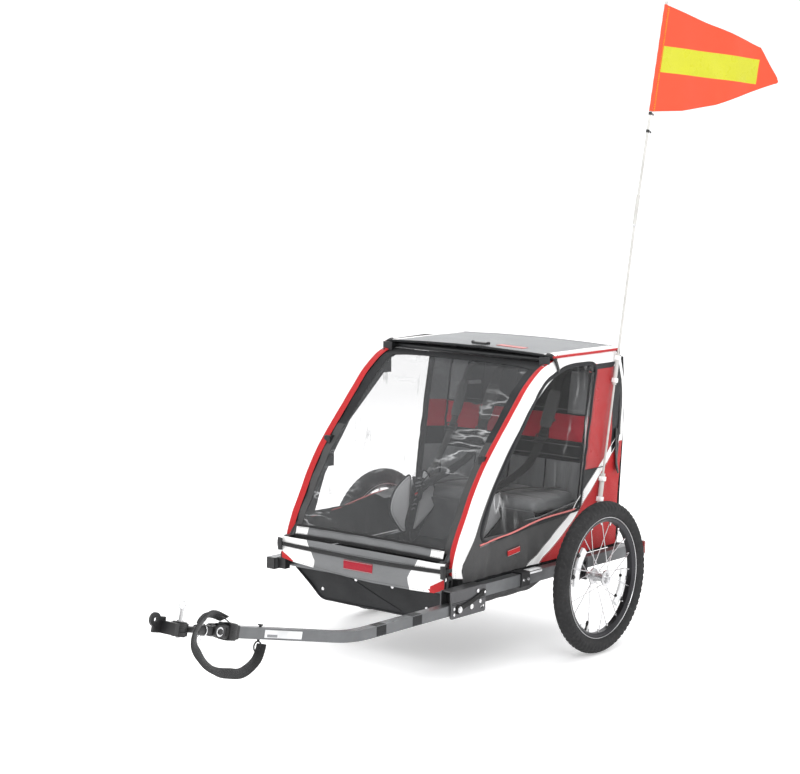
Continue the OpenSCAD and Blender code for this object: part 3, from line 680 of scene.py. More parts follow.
# ------------------------------------------------------------------ safety strap: the one free cord
STRAP = PL([[292, -1232, 236], [294, -1240, 222], [298, -1256, 206], [304, -1286, 195], [310, -1320, 191], [313, -1356, 198],
            [314, -1396, 209], [314, -1430, 230], [314, -1450, 252], [314, -1468, 280], [314, -1464, 306], [314, -1446, 326],
            [312, -1424, 336], [304, -1404, 334], [296, -1380, 326], [292, -1352, 313]])
sp = curve(STRAP, 120)
sT = tangents(sp)
ups = []
for i, s in enumerate(np.linspace(0, 1, len(sp))):
    side = np.array([1.0, 0, 0])
    bi = unit(np.cross(sT[i], side))
    # flat side out at the ends, with the half twists the webbing takes as it hangs
    a = math.radians(np.interp(s, [0, .12, .3, .45, .6, .8, 1], [80, 66, 24, 40, 8, 30, 55]))
    ups.append(side * math.cos(a) + bi * math.sin(a))
v, f = sweep(sp, flat(.024, .0028), up=np.array(ups))
safety = build("safety_strap_webbing", v, f, m["web"])
length(sp)
done(safety, "arm", "webbing", "safety_strap")

# ------------------------------------------------------------------ wheels
def tyre(name, s, mat):
    n, k = 420, 34
    verts, faces = [], []
    R, r = WHEEL_R * 1000 - 23, 23
    for i in range(n):
        a = 2 * math.pi * i / n
        ca, sa = math.cos(a), math.sin(a)
        for j in range(k):
            q = math.radians(-148 + 296 * j / (k - 1))
            t = math.degrees(q)
            h = 0.0
            lug = a / (2 * math.pi) * 70
            if abs(t) < 82:
                # raised blocks: a broken centre line, slanted side blocks, square shoulder knobs
                ph = (lug + .5 * abs(t) / 40) % 1
                if abs(t) < 13:
                    h = 1.5 if (lug * .5) % 1 < .78 else -.1
                elif abs(t) < 17 or 46 < abs(t) < 50:
                    h = 0
                elif abs(t) < 46:
                    h = 1.6 if .12 < ph < .72 else 0
                else:
                    h = 1.7 if .2 < (lug + .25) % 1 < .8 else 0
            elif 96 < abs(t) < 99 or 118 < abs(t) < 121:
                h = .5
            rr = r - 1.9 + h
            rad = R + rr * math.cos(q)
            x = s * (WHEEL_X * 1000 + rr * math.sin(q) * .995)
            verts.append(V(x, rad * sa, WHEEL_Z * 1000 + rad * ca))
        for x, rad in ((12, 157.2), (-12, 157.2)):
            verts.append(V(s * (WHEEL_X * 1000 + x), rad * sa, WHEEL_Z * 1000 + rad * ca))
    k2 = k + 2
    for i in range(n):
        j = (i + 1) % n
        for q in range(k2):
            p = (q + 1) % k2
            f = (i * k2 + q, j * k2 + q, j * k2 + p, i * k2 + p)
            faces.append(f if s > 0 else f[::-1])
    return build(name, verts, faces, mat, angle=50)


for s, side, body in ((1, "left", "wheel_l"), (-1, "right", "wheel_r")):
    done(tyre("tyre_" + side + "_tread", s, m["tyre"]), body, "tyre", "tyre_" + side)
    # white spoke reflectors clipped between the spokes, and the valve
    sp_ = Soup()
    for a in (math.radians(112), math.radians(292)):
        rad, tan = np.array([0, math.sin(a), math.cos(a)]), np.array([0, math.cos(a), -math.sin(a)])
        c = V(s * WHEEL_X * 1000, 0, WHEEL_Z * 1000) + rad * .113
        pts = [c + tan * t + rad * (-.0105 * (t / .048) ** 2) for t in np.linspace(-.048, .048, 13)]
        prof = [(-.011, -.003), (-.0085, -.0048), (.0085, -.0048), (.011, -.003), (.011, .003), (.0085, .0048), (-.0085, .0048), (-.011, .003)]
        v, f = sweep(pts, prof, up=np.array([1.0, 0, 0]))
        sp_.add(v, f, 0)
        for t in np.linspace(-.043, .043, 16):
            q = c + tan * t + rad * (-.0105 * (t / .048) ** 2)
            for x in (.0048, -.0048):
                v, f = sweep([q - rad * .0085 + np.array([x, 0, 0]), q + rad * .0085 + np.array([x, 0, 0])], ring(.0007, 6))
                sp_.add(v, f, 0)
        for t in (-.028, .028):
            v, f = sweep([c + tan * t - rad * .016, c + tan * t + rad * .016], flat(.008, .0105))
            sp_.add(v, f, 1)
    ob = sp_.make("spoke_reflectors_" + side, [m["reflect"], m["plastic"]])
    done(ob, body, "ivory")
    a = math.radians(205)
    rad = np.array([0, math.sin(a), math.cos(a)])
    c = V(s * WHEEL_X * 1000, 0, WHEEL_Z * 1000)
    vs_ = Soup()
    radii = [(.1475, .0033), (.139, .0033), (.138, .0026), (.130, .0026), (.129, .0036), (.121, .0036), (.1195, .0028), (.1185, .0012)]
    for i, (p, w) in enumerate(radii[:-1]):
        pass
    P = [c + rad * p for p, w in radii]
    v, f = sweep(P, [ring(w, 14) for p, w in radii])
    vs_.add(v, f, 0)
    done(vs_.make("valve_" + side, [m["rubber"]]), body, "rubber")
    # bright machined edge and spoke nipples of the rim
    rs = Soup()
    for x in (-12.6, 12.6):
        C = [V(s * (WHEEL_X * 1000 + x), 158.2 * math.sin(t), WHEEL_Z * 1000 + 158.2 * math.cos(t)) for t in np.linspace(0, 2 * math.pi, 121)[:-1]]
        v, f = sweep(C, ring(.0011, 8), closed=True)
        rs.add(v, f, 0)
    lo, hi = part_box("spokes_" + side)
    for i in range(20):
        a = 2 * math.pi * i / 20
        rad = np.array([0, math.sin(a), math.cos(a)])
        v, f = sweep([c + rad * .1462, c + rad * .1385, c + rad * .1375], [ring(.0023, 8), ring(.0021, 8), ring(.0016, 8)])
        rs.add(v, f, 1)
    done(rs.make("rim_edge_" + side, [m["alu"], m["steel"]]), body, "rim_black")

# ------------------------------------------------------------------ shared outlines (mm, y and z)
EDGE = [(-505, 300), (-489, 345), (-458, 400), (-430, 452), (-392, 508), (-345, 562), (-294, 614), (-242, 668), (-200, 708), (-150, 742), (-112, 756)]
SLEEVE = [(-464, 300), (-429, 345), (-400, 400), (-368, 452), (-327, 508), (-283, 562), (-231, 614), (-178, 664), (-140, 694), (-106, 716), (-80, 728)]
WINDOW = [(-392, 345), (-352, 446), (-313, 500), (-268, 556), (-196, 646), (-160, 686), (-122, 714), (-60, 734), (-30, 740), (0, 742), (40, 742), (76, 741), (90, 737), (97, 727), (95, 706), (86, 655), (70, 560), (54, 463), (50, 430), (45, 396), (40, 376), (30, 367), (-8, 364), (-141, 358), (-265, 344)]
REAR = [(226, 736), (244, 690), (250, 620), (246, 540), (232, 430), (226, 366), (224, 245)]


def edge_at(t):
    """Point of the front edge curve at 0 (bottom) to 1 (top)."""
    i = min(len(ECURVE) - 2, max(0, int(t * (len(ECURVE) - 1))))
    w = t * (len(ECURVE) - 1) - i
    return ECURVE[i] * (1 - w) + ECURVE[i + 1] * w


ECURVE = curve([(-507, 262), (-508, 282)] + EDGE + [(-96, 761)], 200)
SCURVE = curve([(-474, 258), (-478, 280)] + SLEEVE + [(-70, 734)], 200)

# ------------------------------------------------------------------ sleeves over the front legs
for s, side in ((1, "left"), (-1, "right")):
    E = curve([(-507, 262), (-509, 282)] + EDGE + [(-90, 763)], 90)
    S = curve([(-472, 256), (-478, 278)] + SLEEVE + [(-66, 737)], 90)
    Tn = tangents(E)
    rows, cols = [], []
    for i in range(90):
        e, q = E[i], S[i]
        n = np.array([-Tn[i][1], Tn[i][0]])  # outwards, up and forwards
        n = n if n[0] < 0 else -n
        ripple = 1.1 * nz((e[0], e[1], 3.1), .018) + .5 * nz((e[0], e[1], 7), .06)
        row = []
        for u in (0, .04, .12, .22, .34, .46, .58, .70, .80, .88, .94):
            p = q + (e - q) * u
            x = 272.0 + 2.6 * math.sin(math.pi * min(1, u * 1.05)) ** .7 + ripple * math.sin(math.pi * u)
            row.append((x, p[0], p[1]))
        for x, o in ((273.0, -.6), (271.6, 1.2), (268.6, 2.3), (264.5, 2.7), (260, 2.6), (256.5, 2.2), (253.5, 1.2), (251.5, -.6)):
            w = o + ripple * .5 + .6 * nz((e[0], e[1], x), .05)
            row.append((x, e[0] + n[0] * w, e[1] + n[1] * w))
        rows.append(row)
    A = np.array(rows)
    nu, nv = A.shape[:2]

    def F(u, v):
        i, j = int(round(u * (nu - 1))), int(round(v * (nv - 1)))
        x, y, z = A[i, j]
        return V(s * x, y, z)

    ob = grid("leg_sleeve_" + side, F, np.linspace(0, 1, nu), np.linspace(0, 1, nv), .0014 * s, [m["white"], m["red"], m["char"]],
              zone=lambda u, v: 1 if v > 13.1 / (nv - 1) else 0, inner=2)
    done(ob, "root", "sleeve_fabric", "sleeve_" + side, squash="cage")
    # seam between white and red, with its stitching
    sm = Soup()
    seam = np.array([V(s * (A[i, 14][0] + .3), A[i, 14][1] - .6 / 1000, A[i, 14][2] + .3) for i in range(nu)])
    v, f = sweep(seam, ring(.0011, 8))
    sm.add(v, f, 0)
    row8 = np.array([V(s * (A[i, 9][0] + .9), A[i, 9][1], A[i, 9][2]) for i in range(nu)])
    stitches(row8, (s, 0, 0), 1, sm, pitch=6)
    row1 = np.array([V(s * (A[i, 1][0] + .9), A[i, 1][1], A[i, 1][2]) for i in range(nu)])
    stitches(row1, (s, 0, 0), 1, sm, pitch=6)
    rowr = np.array([V(s * A[i, -2][0], A[i, -2][1], A[i, -2][2]) for i in range(nu)])
    done(sm.make("leg_sleeve_seams_" + side, [m["red"], m["thread"]]), "root", "sleeve_fabric", squash="cage")
    # black strap over the seam where the leg sleeve meets the roof
    P = curve([V(s * 252, -104, 781), V(s * 266, -102, 779), V(s * 275.5, -98, 768), V(s * 277, -88, 750), V(s * 276, -80, 734)], 24)
    done(strap("corner_strap_" + side, P, .013, .0022, m["web"], up=np.array([s * .9, -.1, .45])), "root", "webbing", squash="cage")

# ------------------------------------------------------------------ side panels
STRIPE_A = [(214, 540), (120, 458), (34, 390), (0, 358), (-60, 322), (-135, 278), (-196, 245)]
STRIPE_B = [(222, 526), (132, 444), (52, 376), (14, 342), (-46, 302), (-118, 262), (-146, 245)]


def below(line, a, b):
    L = sorted(line)
    ys, zs = [p[0] for p in L], [p[1] for p in L]
    if a < ys[0]:
        return b < zs[0]
    return b < np.interp(a, ys, zs)


OUTL = [(-470, 245), (-474, 262), (-476, 290)] + SLEEVE[1:] + [(-84, 760), (-78, 779), (60, 782), (194, 772), (214, 757)] + REAR
GUSSET = [(104, 735), (54, 463), (151, 463), (190, 742)]


def zone_side(a, b):
    # 0 charcoal, 1 white, 2 red, 3 red nylon, 4 black
    if b > 728 and a < 200 and (a > 104 or b > 742 or a < -60):
        return 1 if b > 742 or a > 190 else 4
    if a > 186 and b > 500 and not below([(186, 470), (205, 526), (214, 540)], a, b):
        lim = np.interp(b, [500, 540, 620, 690, 757], [224, 232, 238, 230, 204])
        return 1 if a > lim else 4
    if below(STRIPE_B, a, b):
        return 2
    if below(STRIPE_A, a, b):
        return 1
    if b > 463 and a > 50:
        return 3
    if a > 20 and b > 366:
        return 4
    return 0


for s, side in ((1, "left"), (-1, "right")):
    def F(a, b):
        g = math.exp(-((a + 425) / 46) ** 2 - ((b - 292) / 34) ** 2)          # full corner at the front
        f = math.exp(-((a + 300) / 150) ** 2 - ((b - 290) / 40) ** 2)
        x = 272.4 + 9.5 * g + 2.2 * f * math.sin(a * .045 + 2 * nz((a, b, 0), .01)) + 1.1 * nz((a, b, s), .022)
        if b < 330:
            x += 1.5 * math.sin(a * .11 + 1.3 * nz((a, b, 1), .02)) * max(0, min(1, (330 - b) / 70)) * (1 if a < -120 else .3)
        if a > 54 and b > 400:   # creases pulled towards the lower rear corner
            d = math.hypot(a - 140, b - 470)
            x += 1.4 * math.sin(math.atan2(b - 470, a - 140) * 13) * min(1, d / 80) * math.exp(-d / 150)
        if b > 742:
            x -= 5.5 * ((b - 742) / 40) ** 2
        if a > 196:
            x -= 4 * ((a - 196) / 54) ** 2
        return V(s * x, a, b)

    ob = cloth("side_cover_" + side, OUTL, F, 9, .0015 * s, [m["char"], m["white"], m["red"], m["redshine"], m["blackshine"], m["char"]], holes=[WINDOW],
               cuts=[STRIPE_A, STRIPE_B, [(50, 463), (230, 463)], [(104, 742), (194, 742)], [(-84, 742), (0, 742)], [(0, 742), (90, 742)],
                     [(204, 757), (230, 690), (238, 620), (232, 540), (224, 500)], [(186, 757), (186, 480)], [(20, 366), (20, 400)]],
               zone=zone_side, inner=5)
    done(ob, "root", "black_fabric", "side_panel_" + side, squash="cage")

    # binding round the window
    H = curve([(p[0], p[1]) for p in WINDOW], 260, closed=True)
    c0 = H.mean(0)
    T2 = tangents(H, True)
    nrm = np.array([[t[1], -t[0]] for t in T2])
    sgn = np.sign(((H - c0) * nrm).sum(1).sum())
    off = np.array([.5 if p[0] > 42 and p[1] < 730 else 4.5 for p in H])
    off = np.convolve(np.r_[off[-6:], off, off[:6]], np.ones(13) / 13, "valid")
    B = H + nrm * sgn * off[:, None]
    P = np.array([F(p[0], p[1]) for p in B]) + np.array([s * .0012, 0, 0])
    wid = [.0135 if p[0] < -50 and p[1] > 350 else (.011 if p[1] > 715 else (.009 if p[0] > 40 else .007)) for p in B]
    wid = np.convolve(np.r_[wid[-6:], wid, wid[:6]], np.ones(13) / 13, "valid")
    v, f = sweep(P, [flat(w, .0034) for w in wid], up=np.array([s, 0, 0]), closed=True)
    sm = Soup().add(v, f, 0)
    stitches(np.array([F(p[0], p[1]) for p in (H + nrm * sgn * 7)]) + np.array([s * .0031, 0, 0]), (s, 0, 0), 1, sm, pitch=5)
    done(sm.make("window_binding_" + side, [m["black"], m["threadk"]]), "root", "black_fabric", squash="cage")

    # clear window, and the film over the red gusset behind it
    def G(a, b):
        return V(s * (270.6 + .9 * nz((a, b, 5 * s), .015)), a, b)

    ob = cloth("side_window_film_" + side, WINDOW, G, 14, .0005, [m["vinyls"]])
    if s > 0:
        done(ob, "root", "clear_vinyl", "side_windows", squash="cage")
    else:
        done(ob, "root", "clear_vinyl", squash="cage")

    # piping along the top of the lower panel, along both edges of the stripe and across the foot of the gusset
    sm = Soup()
    P = curve([F(-408, 330), F(-330, 337), F(-265, 342), F(-141, 359), F(-8, 364), F(16, 366)], 60) + np.array([s * .0016, 0, 0])
    v, f = sweep(P, ring(.0023, 10))
    sm.add(v, f, 0)
    stitches(P + np.array([s * .0002, 0, -.0045]), (s, 0, 0), 1, sm, pitch=5)
    for line, dx in ((STRIPE_A, 1), (STRIPE_B, 1)):
        Q = curve([(p[0], p[1]) for p in line], 80)
        Q = np.array([F(p[0], p[1]) for p in Q]) + np.array([s * .0009, 0, 0])
        v, f = sweep(Q, ring(.0009, 6))
        sm.add(v, f, 2)
        stitches(Q + np.array([s * .0003, 0, -.004 if line is STRIPE_B else .004]), (s, 0, 0), 1, sm, pitch=6)
    Q = np.array([F(a, 463) for a in np.linspace(52, 160, 20)]) + np.array([s * .0012, 0, 0])
    v, f = sweep(Q, ring(.0012, 6))
    sm.add(v, f, 3)
    done(sm.make("side_piping_" + side, [m["pink"], m["thread"], m["white"], m["black"]]), "root", "sleeve_fabric", squash="cage")

    # webbing down the rear corner with its loose end
    P = curve([V(s * 262, 214, 744), V(s * 269, 224, 700), V(s * 271, 228, 620), V(s * 272, 224, 545), V(s * 273.5, 216, 500), V(s * 274, 212, 470), V(s * 278, 213, 446)], 40)
    P2 = curve([V(s * 275.5, 206, 560), V(s * 277, 204, 500), V(s * 280, 205, 462), V(s * 284, 208, 440)], 24)
    sm = Soup()
    v, f = sweep(P, flat(.016, .002), up=np.array([s, .25, 0]))
    sm.add(v, f, 0)
    v, f = sweep(P2, flat(.014, .002), up=np.array([s, .3, .1]))
    sm.add(v, f, 0)
    done(sm.make("rear_corner_webbing_" + side, [m["web"]]), "root", "webbing", squash="cage")

# plain woven patch where the photograph has lettering: a generic tab of the same colour, sewn on
sm = Soup()
for (y0, z0, w, h, k) in ((-262, 292, 52, 15, 0),):
    C = [(y0 - w / 2, z0 - h / 2), (y0 + w / 2, z0 - h / 2 + 5), (y0 + w / 2, z0 + h / 2 + 5), (y0 - w / 2, z0 + h / 2)]
    P = curve([V(276.6, y0 - w / 2, z0), V(277.2, y0, z0 + 2.5), V(276.6, y0 + w / 2, z0 + 5)], 12)
    v, f = sweep(P, flat(h / 1000, .0014), up=np.array([1.0, 0, 0]))
    sm.add(v, f, 0)
    stitches(P + np.array([.0009, 0, h / 2200]), (1, 0, 0), 1, sm, pitch=4)
    stitches(P + np.array([.0009, 0, -h / 2200]), (1, 0, 0), 1, sm, pitch=4)
done(sm.make("side_tab_plain", [m["red"], m["thread"]]), "root", "sleeve_fabric", squash="cage")


# ------------------------------------------------------------------ roof
def crown(x, y):
    return 777.5 + 9.5 * (1 - (x / 272) ** 2) * (1 - .35 * ((y - 50) / 170) ** 2)


def roof(u, v):
    x, y = u, v
    z = crown(x, y) + .8 * nz((x, y, 0), .012) - 1.6 * math.exp(-((y + 85) / 20) ** 2) * 0
    if abs(x) > 262:
        z -= (abs(x) - 262) * .5
    return V(x, y, z)


us = np.r_[-272, -268, -262, np.linspace(-256, -238, 4), np.linspace(-230, 230, 40), np.linspace(238, 256, 4), 262, 268, 272]
vs = np.r_[-108, -104, -98, np.linspace(-90, 200, 36), 208, 214]
ob = grid("roof_cover", roof, us, vs, .0016, [m["grey"], m["white"], m["black"]],
          zone=lambda u, v: 2 if v < -99 else (1 if abs(u) > 236 else 0), inner=2)
done(ob, "roof", "grey_fabric", "roof_panel")
sm = Soup()
for s in (1, -1):
    P = curve([roof(s * 271, y) + np.array([s * .001, 0, .0004]) for y in (-104, -60, 0, 60, 120, 180, 206)], 60)
    v, f = sweep(P, ring(.0034, 10))
    sm.add(v, f, 0)
    Q = np.array([roof(s * 236, y) + np.array([0, 0, .001]) for y in np.linspace(-96, 208, 40)])
    stitches(Q, (0, 0, 1), 1, sm, pitch=6)
    Q = np.array([roof(s * 262, y) + np.array([0, 0, .001]) for y in np.linspace(-96, 208, 40)])
    stitches(Q, (0, 0, 1), 1, sm, pitch=6)
Q = np.array([roof(x, -96) + np.array([0, 0, .001]) for x in np.linspace(-230, 230, 60)])
stitches(Q, (0, 0, 1), 1, sm, pitch=6)
P = curve([roof(x, -108) + np.array([0, -.001, -.001]) for x in np.linspace(-268, 268, 24)], 60)
v, f = sweep(P, ring(.0032, 10))
sm.add(v, f, 2)
P = curve([roof(x, 214) + np.array([0, .001, -.001]) for x in np.linspace(-268, 268, 24)], 60)
v, f = sweep(P, ring(.0026, 10))
sm.add(v, f, 2)
done(sm.make("roof_piping", [m["red"], m["thread"], m["black"]]), "roof", "sleeve_fabric")
# plain sewn patch on the roof near the toggle
P = curve([roof(x, -52) + np.array([0, 0, .0016]) for x in np.linspace(66, 150, 9)], 20)
v, f = sweep(P, flat(.026, .0014), up=np.array([0, 0, 1.0]))
sm = Soup().add(v, f, 0)
for d in (.011, -.011):
    stitches(P + np.array([0, d, .0009]), (0, 0, 1), 1, sm, pitch=4)
done(sm.make("roof_patch_plain", [m["pink"], m["thread"]]), "roof", "sleeve_fabric")


# ------------------------------------------------------------------ front cover
def cov(x, t, out=0.0):
    """Point of the front cover: x across (mm), t from 0 at the bottom to 1 at the roof."""
    e = edge_at(.085 + .912 * t)
    tg = edge_at(min(1, .085 + .912 * t + .01)) - edge_at(max(0, .085 + .912 * t - .01))
    n = np.array([-tg[1], tg[0]])
    n = n / np.linalg.norm(n)
    n = n if n[0] < 0 else -n
    w = -5.5 + out
    return x, e[0] + n[0] * w, e[1] + n[1] * w


def cover_xyz(x, t, out=0.0):
    sag = -7 * (1 - (x / 236) ** 2) * math.sin(math.pi * min(1, max(0, t))) * .6
    pull = 1.5 * math.sin(t * 46 + 2.2 * nz((x, t * 400, 2), .012) + x * .01) * math.exp(-((236 - abs(x)) / 55)) * (1 - .6 * t)
    soft = 3.2 * nz((x, t * 420, 1), .011) + 1.3 * nz((x, t * 420, 6), .035)
    return V(*cov(x, t, out + sag + (pull + soft * (1 - (abs(x) / 240) ** 6)) * min(1, t * 12) * min(1, (1 - t) * 10)))


ts = np.r_[0, np.linspace(.014, .97, 78), 1.0]
xs = np.linspace(-234, 234, 66)
ob = grid("front_window_film", lambda u, v: cover_xyz(v, u), ts, xs, .0006, [m["vinylf"]])
done(ob, "cover", "clear_vinyl", "front_cover", squash="roof")


def bord(t):
    return 231 - 8 * t


sm_obs = []
for s in (1, -1):
    def F(u, v):
        return cover_xyz(s * (bord(u) + (250.5 - bord(u)) * v), u, .9)

    ob = grid("cover_frame_cloth" if s > 0 else "cover_frame_cloth_right", F, np.linspace(.0, 1, 70), np.linspace(0, 1, 7), .0014 * s, [m["char"], m["black"]],
              zone=lambda u, v: 1 if u > .5 else 0)
    done(ob, "cover", "black_fabric", *(["cover_border"] if s > 0 else []), squash="roof")
# black top of the cover, and the grey band with pale ends at its foot
ob = grid("cover_top_band", lambda u, v: cover_xyz(v, 1 - (1 - u) * (.045 + .045 * abs(v / 250) ** 4), 1.4), np.linspace(0, 1, 8), np.linspace(-250, 250, 50), .0014, [m["black"]])
done(ob, "cover", "black_fabric", squash="roof")


def foot(u, v):
    x, z = v, u
    y = -510.5 - .0 + 1.2 * nz((x, z, 3), .03) + 1.4 * math.sin(x * .07 + z * .2) * .4
    return V(x, y + (z - 300) * .32, z + 4.0 * (1 - (x / 238) ** 2) * .6 - 2.5 * x / 238 * 0)


ob = grid("cover_foot_band", foot, np.linspace(303, 326, 8), np.r_[-238, -236, -234, -198, np.linspace(-190, 190, 50), 198, 234, 236, 238], .0016, [m["lgrey"], m["white"]],
          zone=lambda u, v: 1 if abs(v) > 196 else 0)
done(ob, "cover", "grey_fabric", "cover_elastic", squash="roof")
sm = Soup()
P = curve([foot(327, x) + np.array([0, -.001, 0]) for x in np.linspace(-238, 238, 30)], 90)
v, f = sweep(P, flat(.007, .003), up=np.array([0, -1.0, 0]))
sm.add(v, f, 0)
P = curve([foot(302, x) + np.array([0, -.0016, 0]) for x in np.linspace(-240, 240, 30)], 90)
v, f = sweep(P, flat(.0085, .0034), up=np.array([0, -1.0, 0]))
sm.add(v, f, 0)
for z in (307.5, 322):
    stitches(np.array([foot(z, x) + np.array([0, -.0012, 0]) for x in np.linspace(-232, 232, 40)]), (0, -1, 0), 1, sm, pitch=5)
done(sm.make("cover_foot_binding", [m["elastic"], m["threadk"]]), "cover", "elastic", squash="roof")


# ------------------------------------------------------------------ front flap, its elastic and corner tabs
FLAP = [(-262, 300), (-262, 243), (-236, 239), (-210, 236), (-140, 231), (-70, 226), (-15, 223), (40, 221), (150, 221), (230, 224), (262, 236), (262, 300), (236, 299),
        (120, 300), (0, 300), (-120, 300), (-236, 299)]


def flap(a, b):
    t = (b - 221) / 70
    y = -533.5 - 2.0 * math.sin(math.pi * t) + 2.0 * nz((a, b * 2.2, 3), .018) + .9 * math.sin(b * .22 + a * .012)
    y += .018 * max(0, abs(a) - 225) * 3
    return V(a, y, b)


W1, W2 = 158, 232
ob = cloth("front_flap_cloth", FLAP, flap, 8, .0016, [m["lgrey"], m["white"], m["red"]],
           cuts=[[(s * W1, 200), (s * (W1 - 8), 252), (s * (W1 + 22), 300)] for s in (1, -1)] + [[(s * 214, 200), (s * 222, 240), (s * 262, 262)] for s in (1, -1)],
           zone=lambda a, b: 2 if (abs(a) > 214 and b < np.interp(abs(a), [214, 222, 262], [222, 240, 262])) else (1 if abs(a) > np.interp(b, [200, 252, 300], [W1, W1 - 8, W1 + 22]) else 0), inner=0)
done(ob, "root", "grey_fabric", "front_flap", squash="cage")
sm = Soup()
P = curve([V(x, -538.2 - .6 * math.sin(x * .02), 281 - 5 * (1 - (x / 262) ** 2)) for x in np.linspace(-262, 262, 20)], 80)
v, f = sweep(P, flat(.0105, .0026), up=np.array([0, -1.0, 0]))
sm.add(v, f, 0)
for s in (1, -1):
    P = curve([V(s * 258, -538.6, 281), V(s * 265, -536, 281.5), V(s * 267.5, -526, 282), V(s * 267.5, -500, 283), V(s * 267, -480, 284)], 24)
    v, f = sweep(P, flat(.009, .0024), up=np.array([s, -.2, 0]))
    sm.add(v, f, 0)
    # hook plates at the corners
    P = curve([V(s * 262, -541, 296), V(s * 263.5, -541.5, 281), V(s * 262, -540, 264)], 10)
    v, f = sweep(P, flat(.015, .0055), up=np.array([0, -1.0, 0]))
    sm.add(v, f, 1)
done(sm.make("flap_elastic_band", [m["elastic"], m["plastic"]]), "root", "elastic", "flap_elastic", squash="cage")
sm = Soup()
P = curve([flap(x, 256) + np.array([0, -.0015, 0]) for x in np.linspace(-52, 40, 8)], 16)
v, f = sweep(P, flat(.024, .0014), up=np.array([0, -1.0, 0]))
sm.add(v, f, 0)
for d in (.0105, -.0105):
    stitches(P + np.array([0, -.0009, d]), (0, -1, 0), 1, sm, pitch=4)
for b in (226, 284):
    stitches(np.array([flap(x, b + (max(0, -x - 30) * .075 if b < 250 else 0)) + np.array([0, -.001, 0]) for x in np.linspace(-205, 205, 50)]), (0, -1, 0), 2, sm, pitch=6)
done(sm.make("flap_patch_plain", [m["redin"], m["thread"], m["threadk"]]), "root", "sleeve_fabric", squash="cage")

# ------------------------------------------------------------------ footwell tub and floor
XS = [(-262, 239), (-262, 232), (-262, 222), (-260, 214), (-246, 203), (-225, 187), (-200, 166), (-182, 151), (-172, 144), (-160, 140.6), (-120, 140), (-60, 140), (0, 140)]
XS = XS + [(-x, z) for x, z in reversed(XS[:-1])]
Y0, Y1 = -478, -40


def tubf(u, v):
    i = v * (len(XS) - 1)
    k = min(len(XS) - 2, int(i))
    w = i - k
    x = XS[k][0] * (1 - w) + XS[k + 1][0] * w
    z = XS[k][1] * (1 - w) + XS[k + 1][1] * w
    y = Y0 + (Y1 - Y0) * u
    wob = 1.6 * nz((x, y, z), .013) + .8 * math.sin(y * .06 + nz((x, y, 0), .02) * 2)
    if z > 141:
        x += wob * (1 if x > 0 else -1) * (-1) * .8
    z = max(140.4, z + abs(wob) * (1 if z < 200 else 0))
    return V(x, y, z)


ob = grid("footwell_cloth", tubf, np.linspace(0, 1, 50), np.linspace(0, 1, 97), .002, [m["black"]])
done(ob, "root", "black_fabric", "floor_tub")
FR = [(x, z) for x, z in XS] + [(262, 262), (-262, 262)]


def wall(a, b, y=Y0):
    fold = 1.8 * math.sin((a + b * .9) * .035 + 2 * nz((a, b, 4), .01)) + 1.6 * nz((a, b, 2), .02)
    edge = min(1, max(0, (b - 146) / 18)) * min(1, max(0, (262 - abs(a)) / 18))
    return V(a, y - .5 - fold * .8 * edge, b)


ob = cloth("footwell_front", FR, wall, 9, .002, [m["blackshine"]])
done(ob, "root", "black_fabric")
ob = cloth("footwell_back", [(x, z) for x, z in XS], lambda a, b: V(a, Y1, b), 14, .002, [m["black"]])
done(ob, "root", "black_fabric")
ob = cloth("rear_floor", [(-262, -40), (262, -40), (262, 212), (-262, 212)], lambda a, b: V(a, b, 237 + .9 * nz((a, b, 0), .02)), 14, .0035, [m["black"]])
done(ob, "root", "black_fabric")
sm = Soup()
# bound edge of the tub, centre fold and rivets
P = curve([tubf(0, v) + np.array([0, -.002, -.0006]) for v in np.linspace(.02, .98, 60)], 130)
v, f = sweep(P, ring(.0028, 8))
sm.add(v, f, 0)
P = curve([wall(-150 + 240 * t, 232 - 84 * t) + np.array([0, -.0012, 0]) for t in np.linspace(0, 1, 14)], 40)
v, f = sweep(P, ring(.0013, 8))
sm.add(v, f, 0)
for x, z in ((236, 222), (-236, 222), (60, 205), (-60, 205), (168, 166), (-168, 166)):
    c = wall(x, z)
    v, f = sweep([c + np.array([0, .0005, 0]), c + np.array([0, -.0014, 0]), c + np.array([0, -.0024, 0]), c + np.array([0, -.0029, 0])], [ring(.0048, 14), ring(.0048, 14), ring(.0036, 14), ring(.001, 14)])
    sm.add(v, f, 1)
done(sm.make("footwell_trim", [m["black"], m["steel"]]), "root", "black_fabric")


# ------------------------------------------------------------------ seat
def puff(name, verts, faces, mat, cap, pressure=4.0, voxel=.006, sub=1):
    """A closed form blown up a little by Blender's cloth, each point moving no further than cap."""
    o = build(name, verts, faces, mat)
    md = o.modifiers.new("r", "REMESH")
    md.mode = "VOXEL"
    md.voxel_size = voxel
    dg = bpy.context.evaluated_depsgraph_get()
    me = bpy.data.meshes.new_from_object(o.evaluated_get(dg))
    o.modifiers.clear()
    o.data = me
    rest = np.array([v.co for v in me.vertices])
    c = o.modifiers.new("c", "CLOTH")
    c.settings.use_pressure = True
    c.settings.uniform_pressure_force = pressure
    c.settings.effector_weights.gravity = 0
    c.settings.quality = 4
    c.settings.tension_stiffness = 12
    c.settings.bending_stiffness = .3
    sc = bpy.context.scene
    for fnum in range(1, 17):
        sc.frame_set(fnum)
    dg = bpy.context.evaluated_depsgraph_get()
    me2 = bpy.data.meshes.new_from_object(o.evaluated_get(dg))
    o.modifiers.clear()
    sc.frame_set(1)
    co = np.array([v.co for v in me2.vertices])
    d = co - rest
    ln = np.linalg.norm(d, axis=1)
    d *= (np.minimum(ln, cap) / np.maximum(ln, 1e-9))[:, None]
    me2.vertices.foreach_set("co", (rest + d).ravel().astype(np.float32))
    o.data = me2
    o.data.materials.clear()
    o.data.materials.append(mat)
    return o


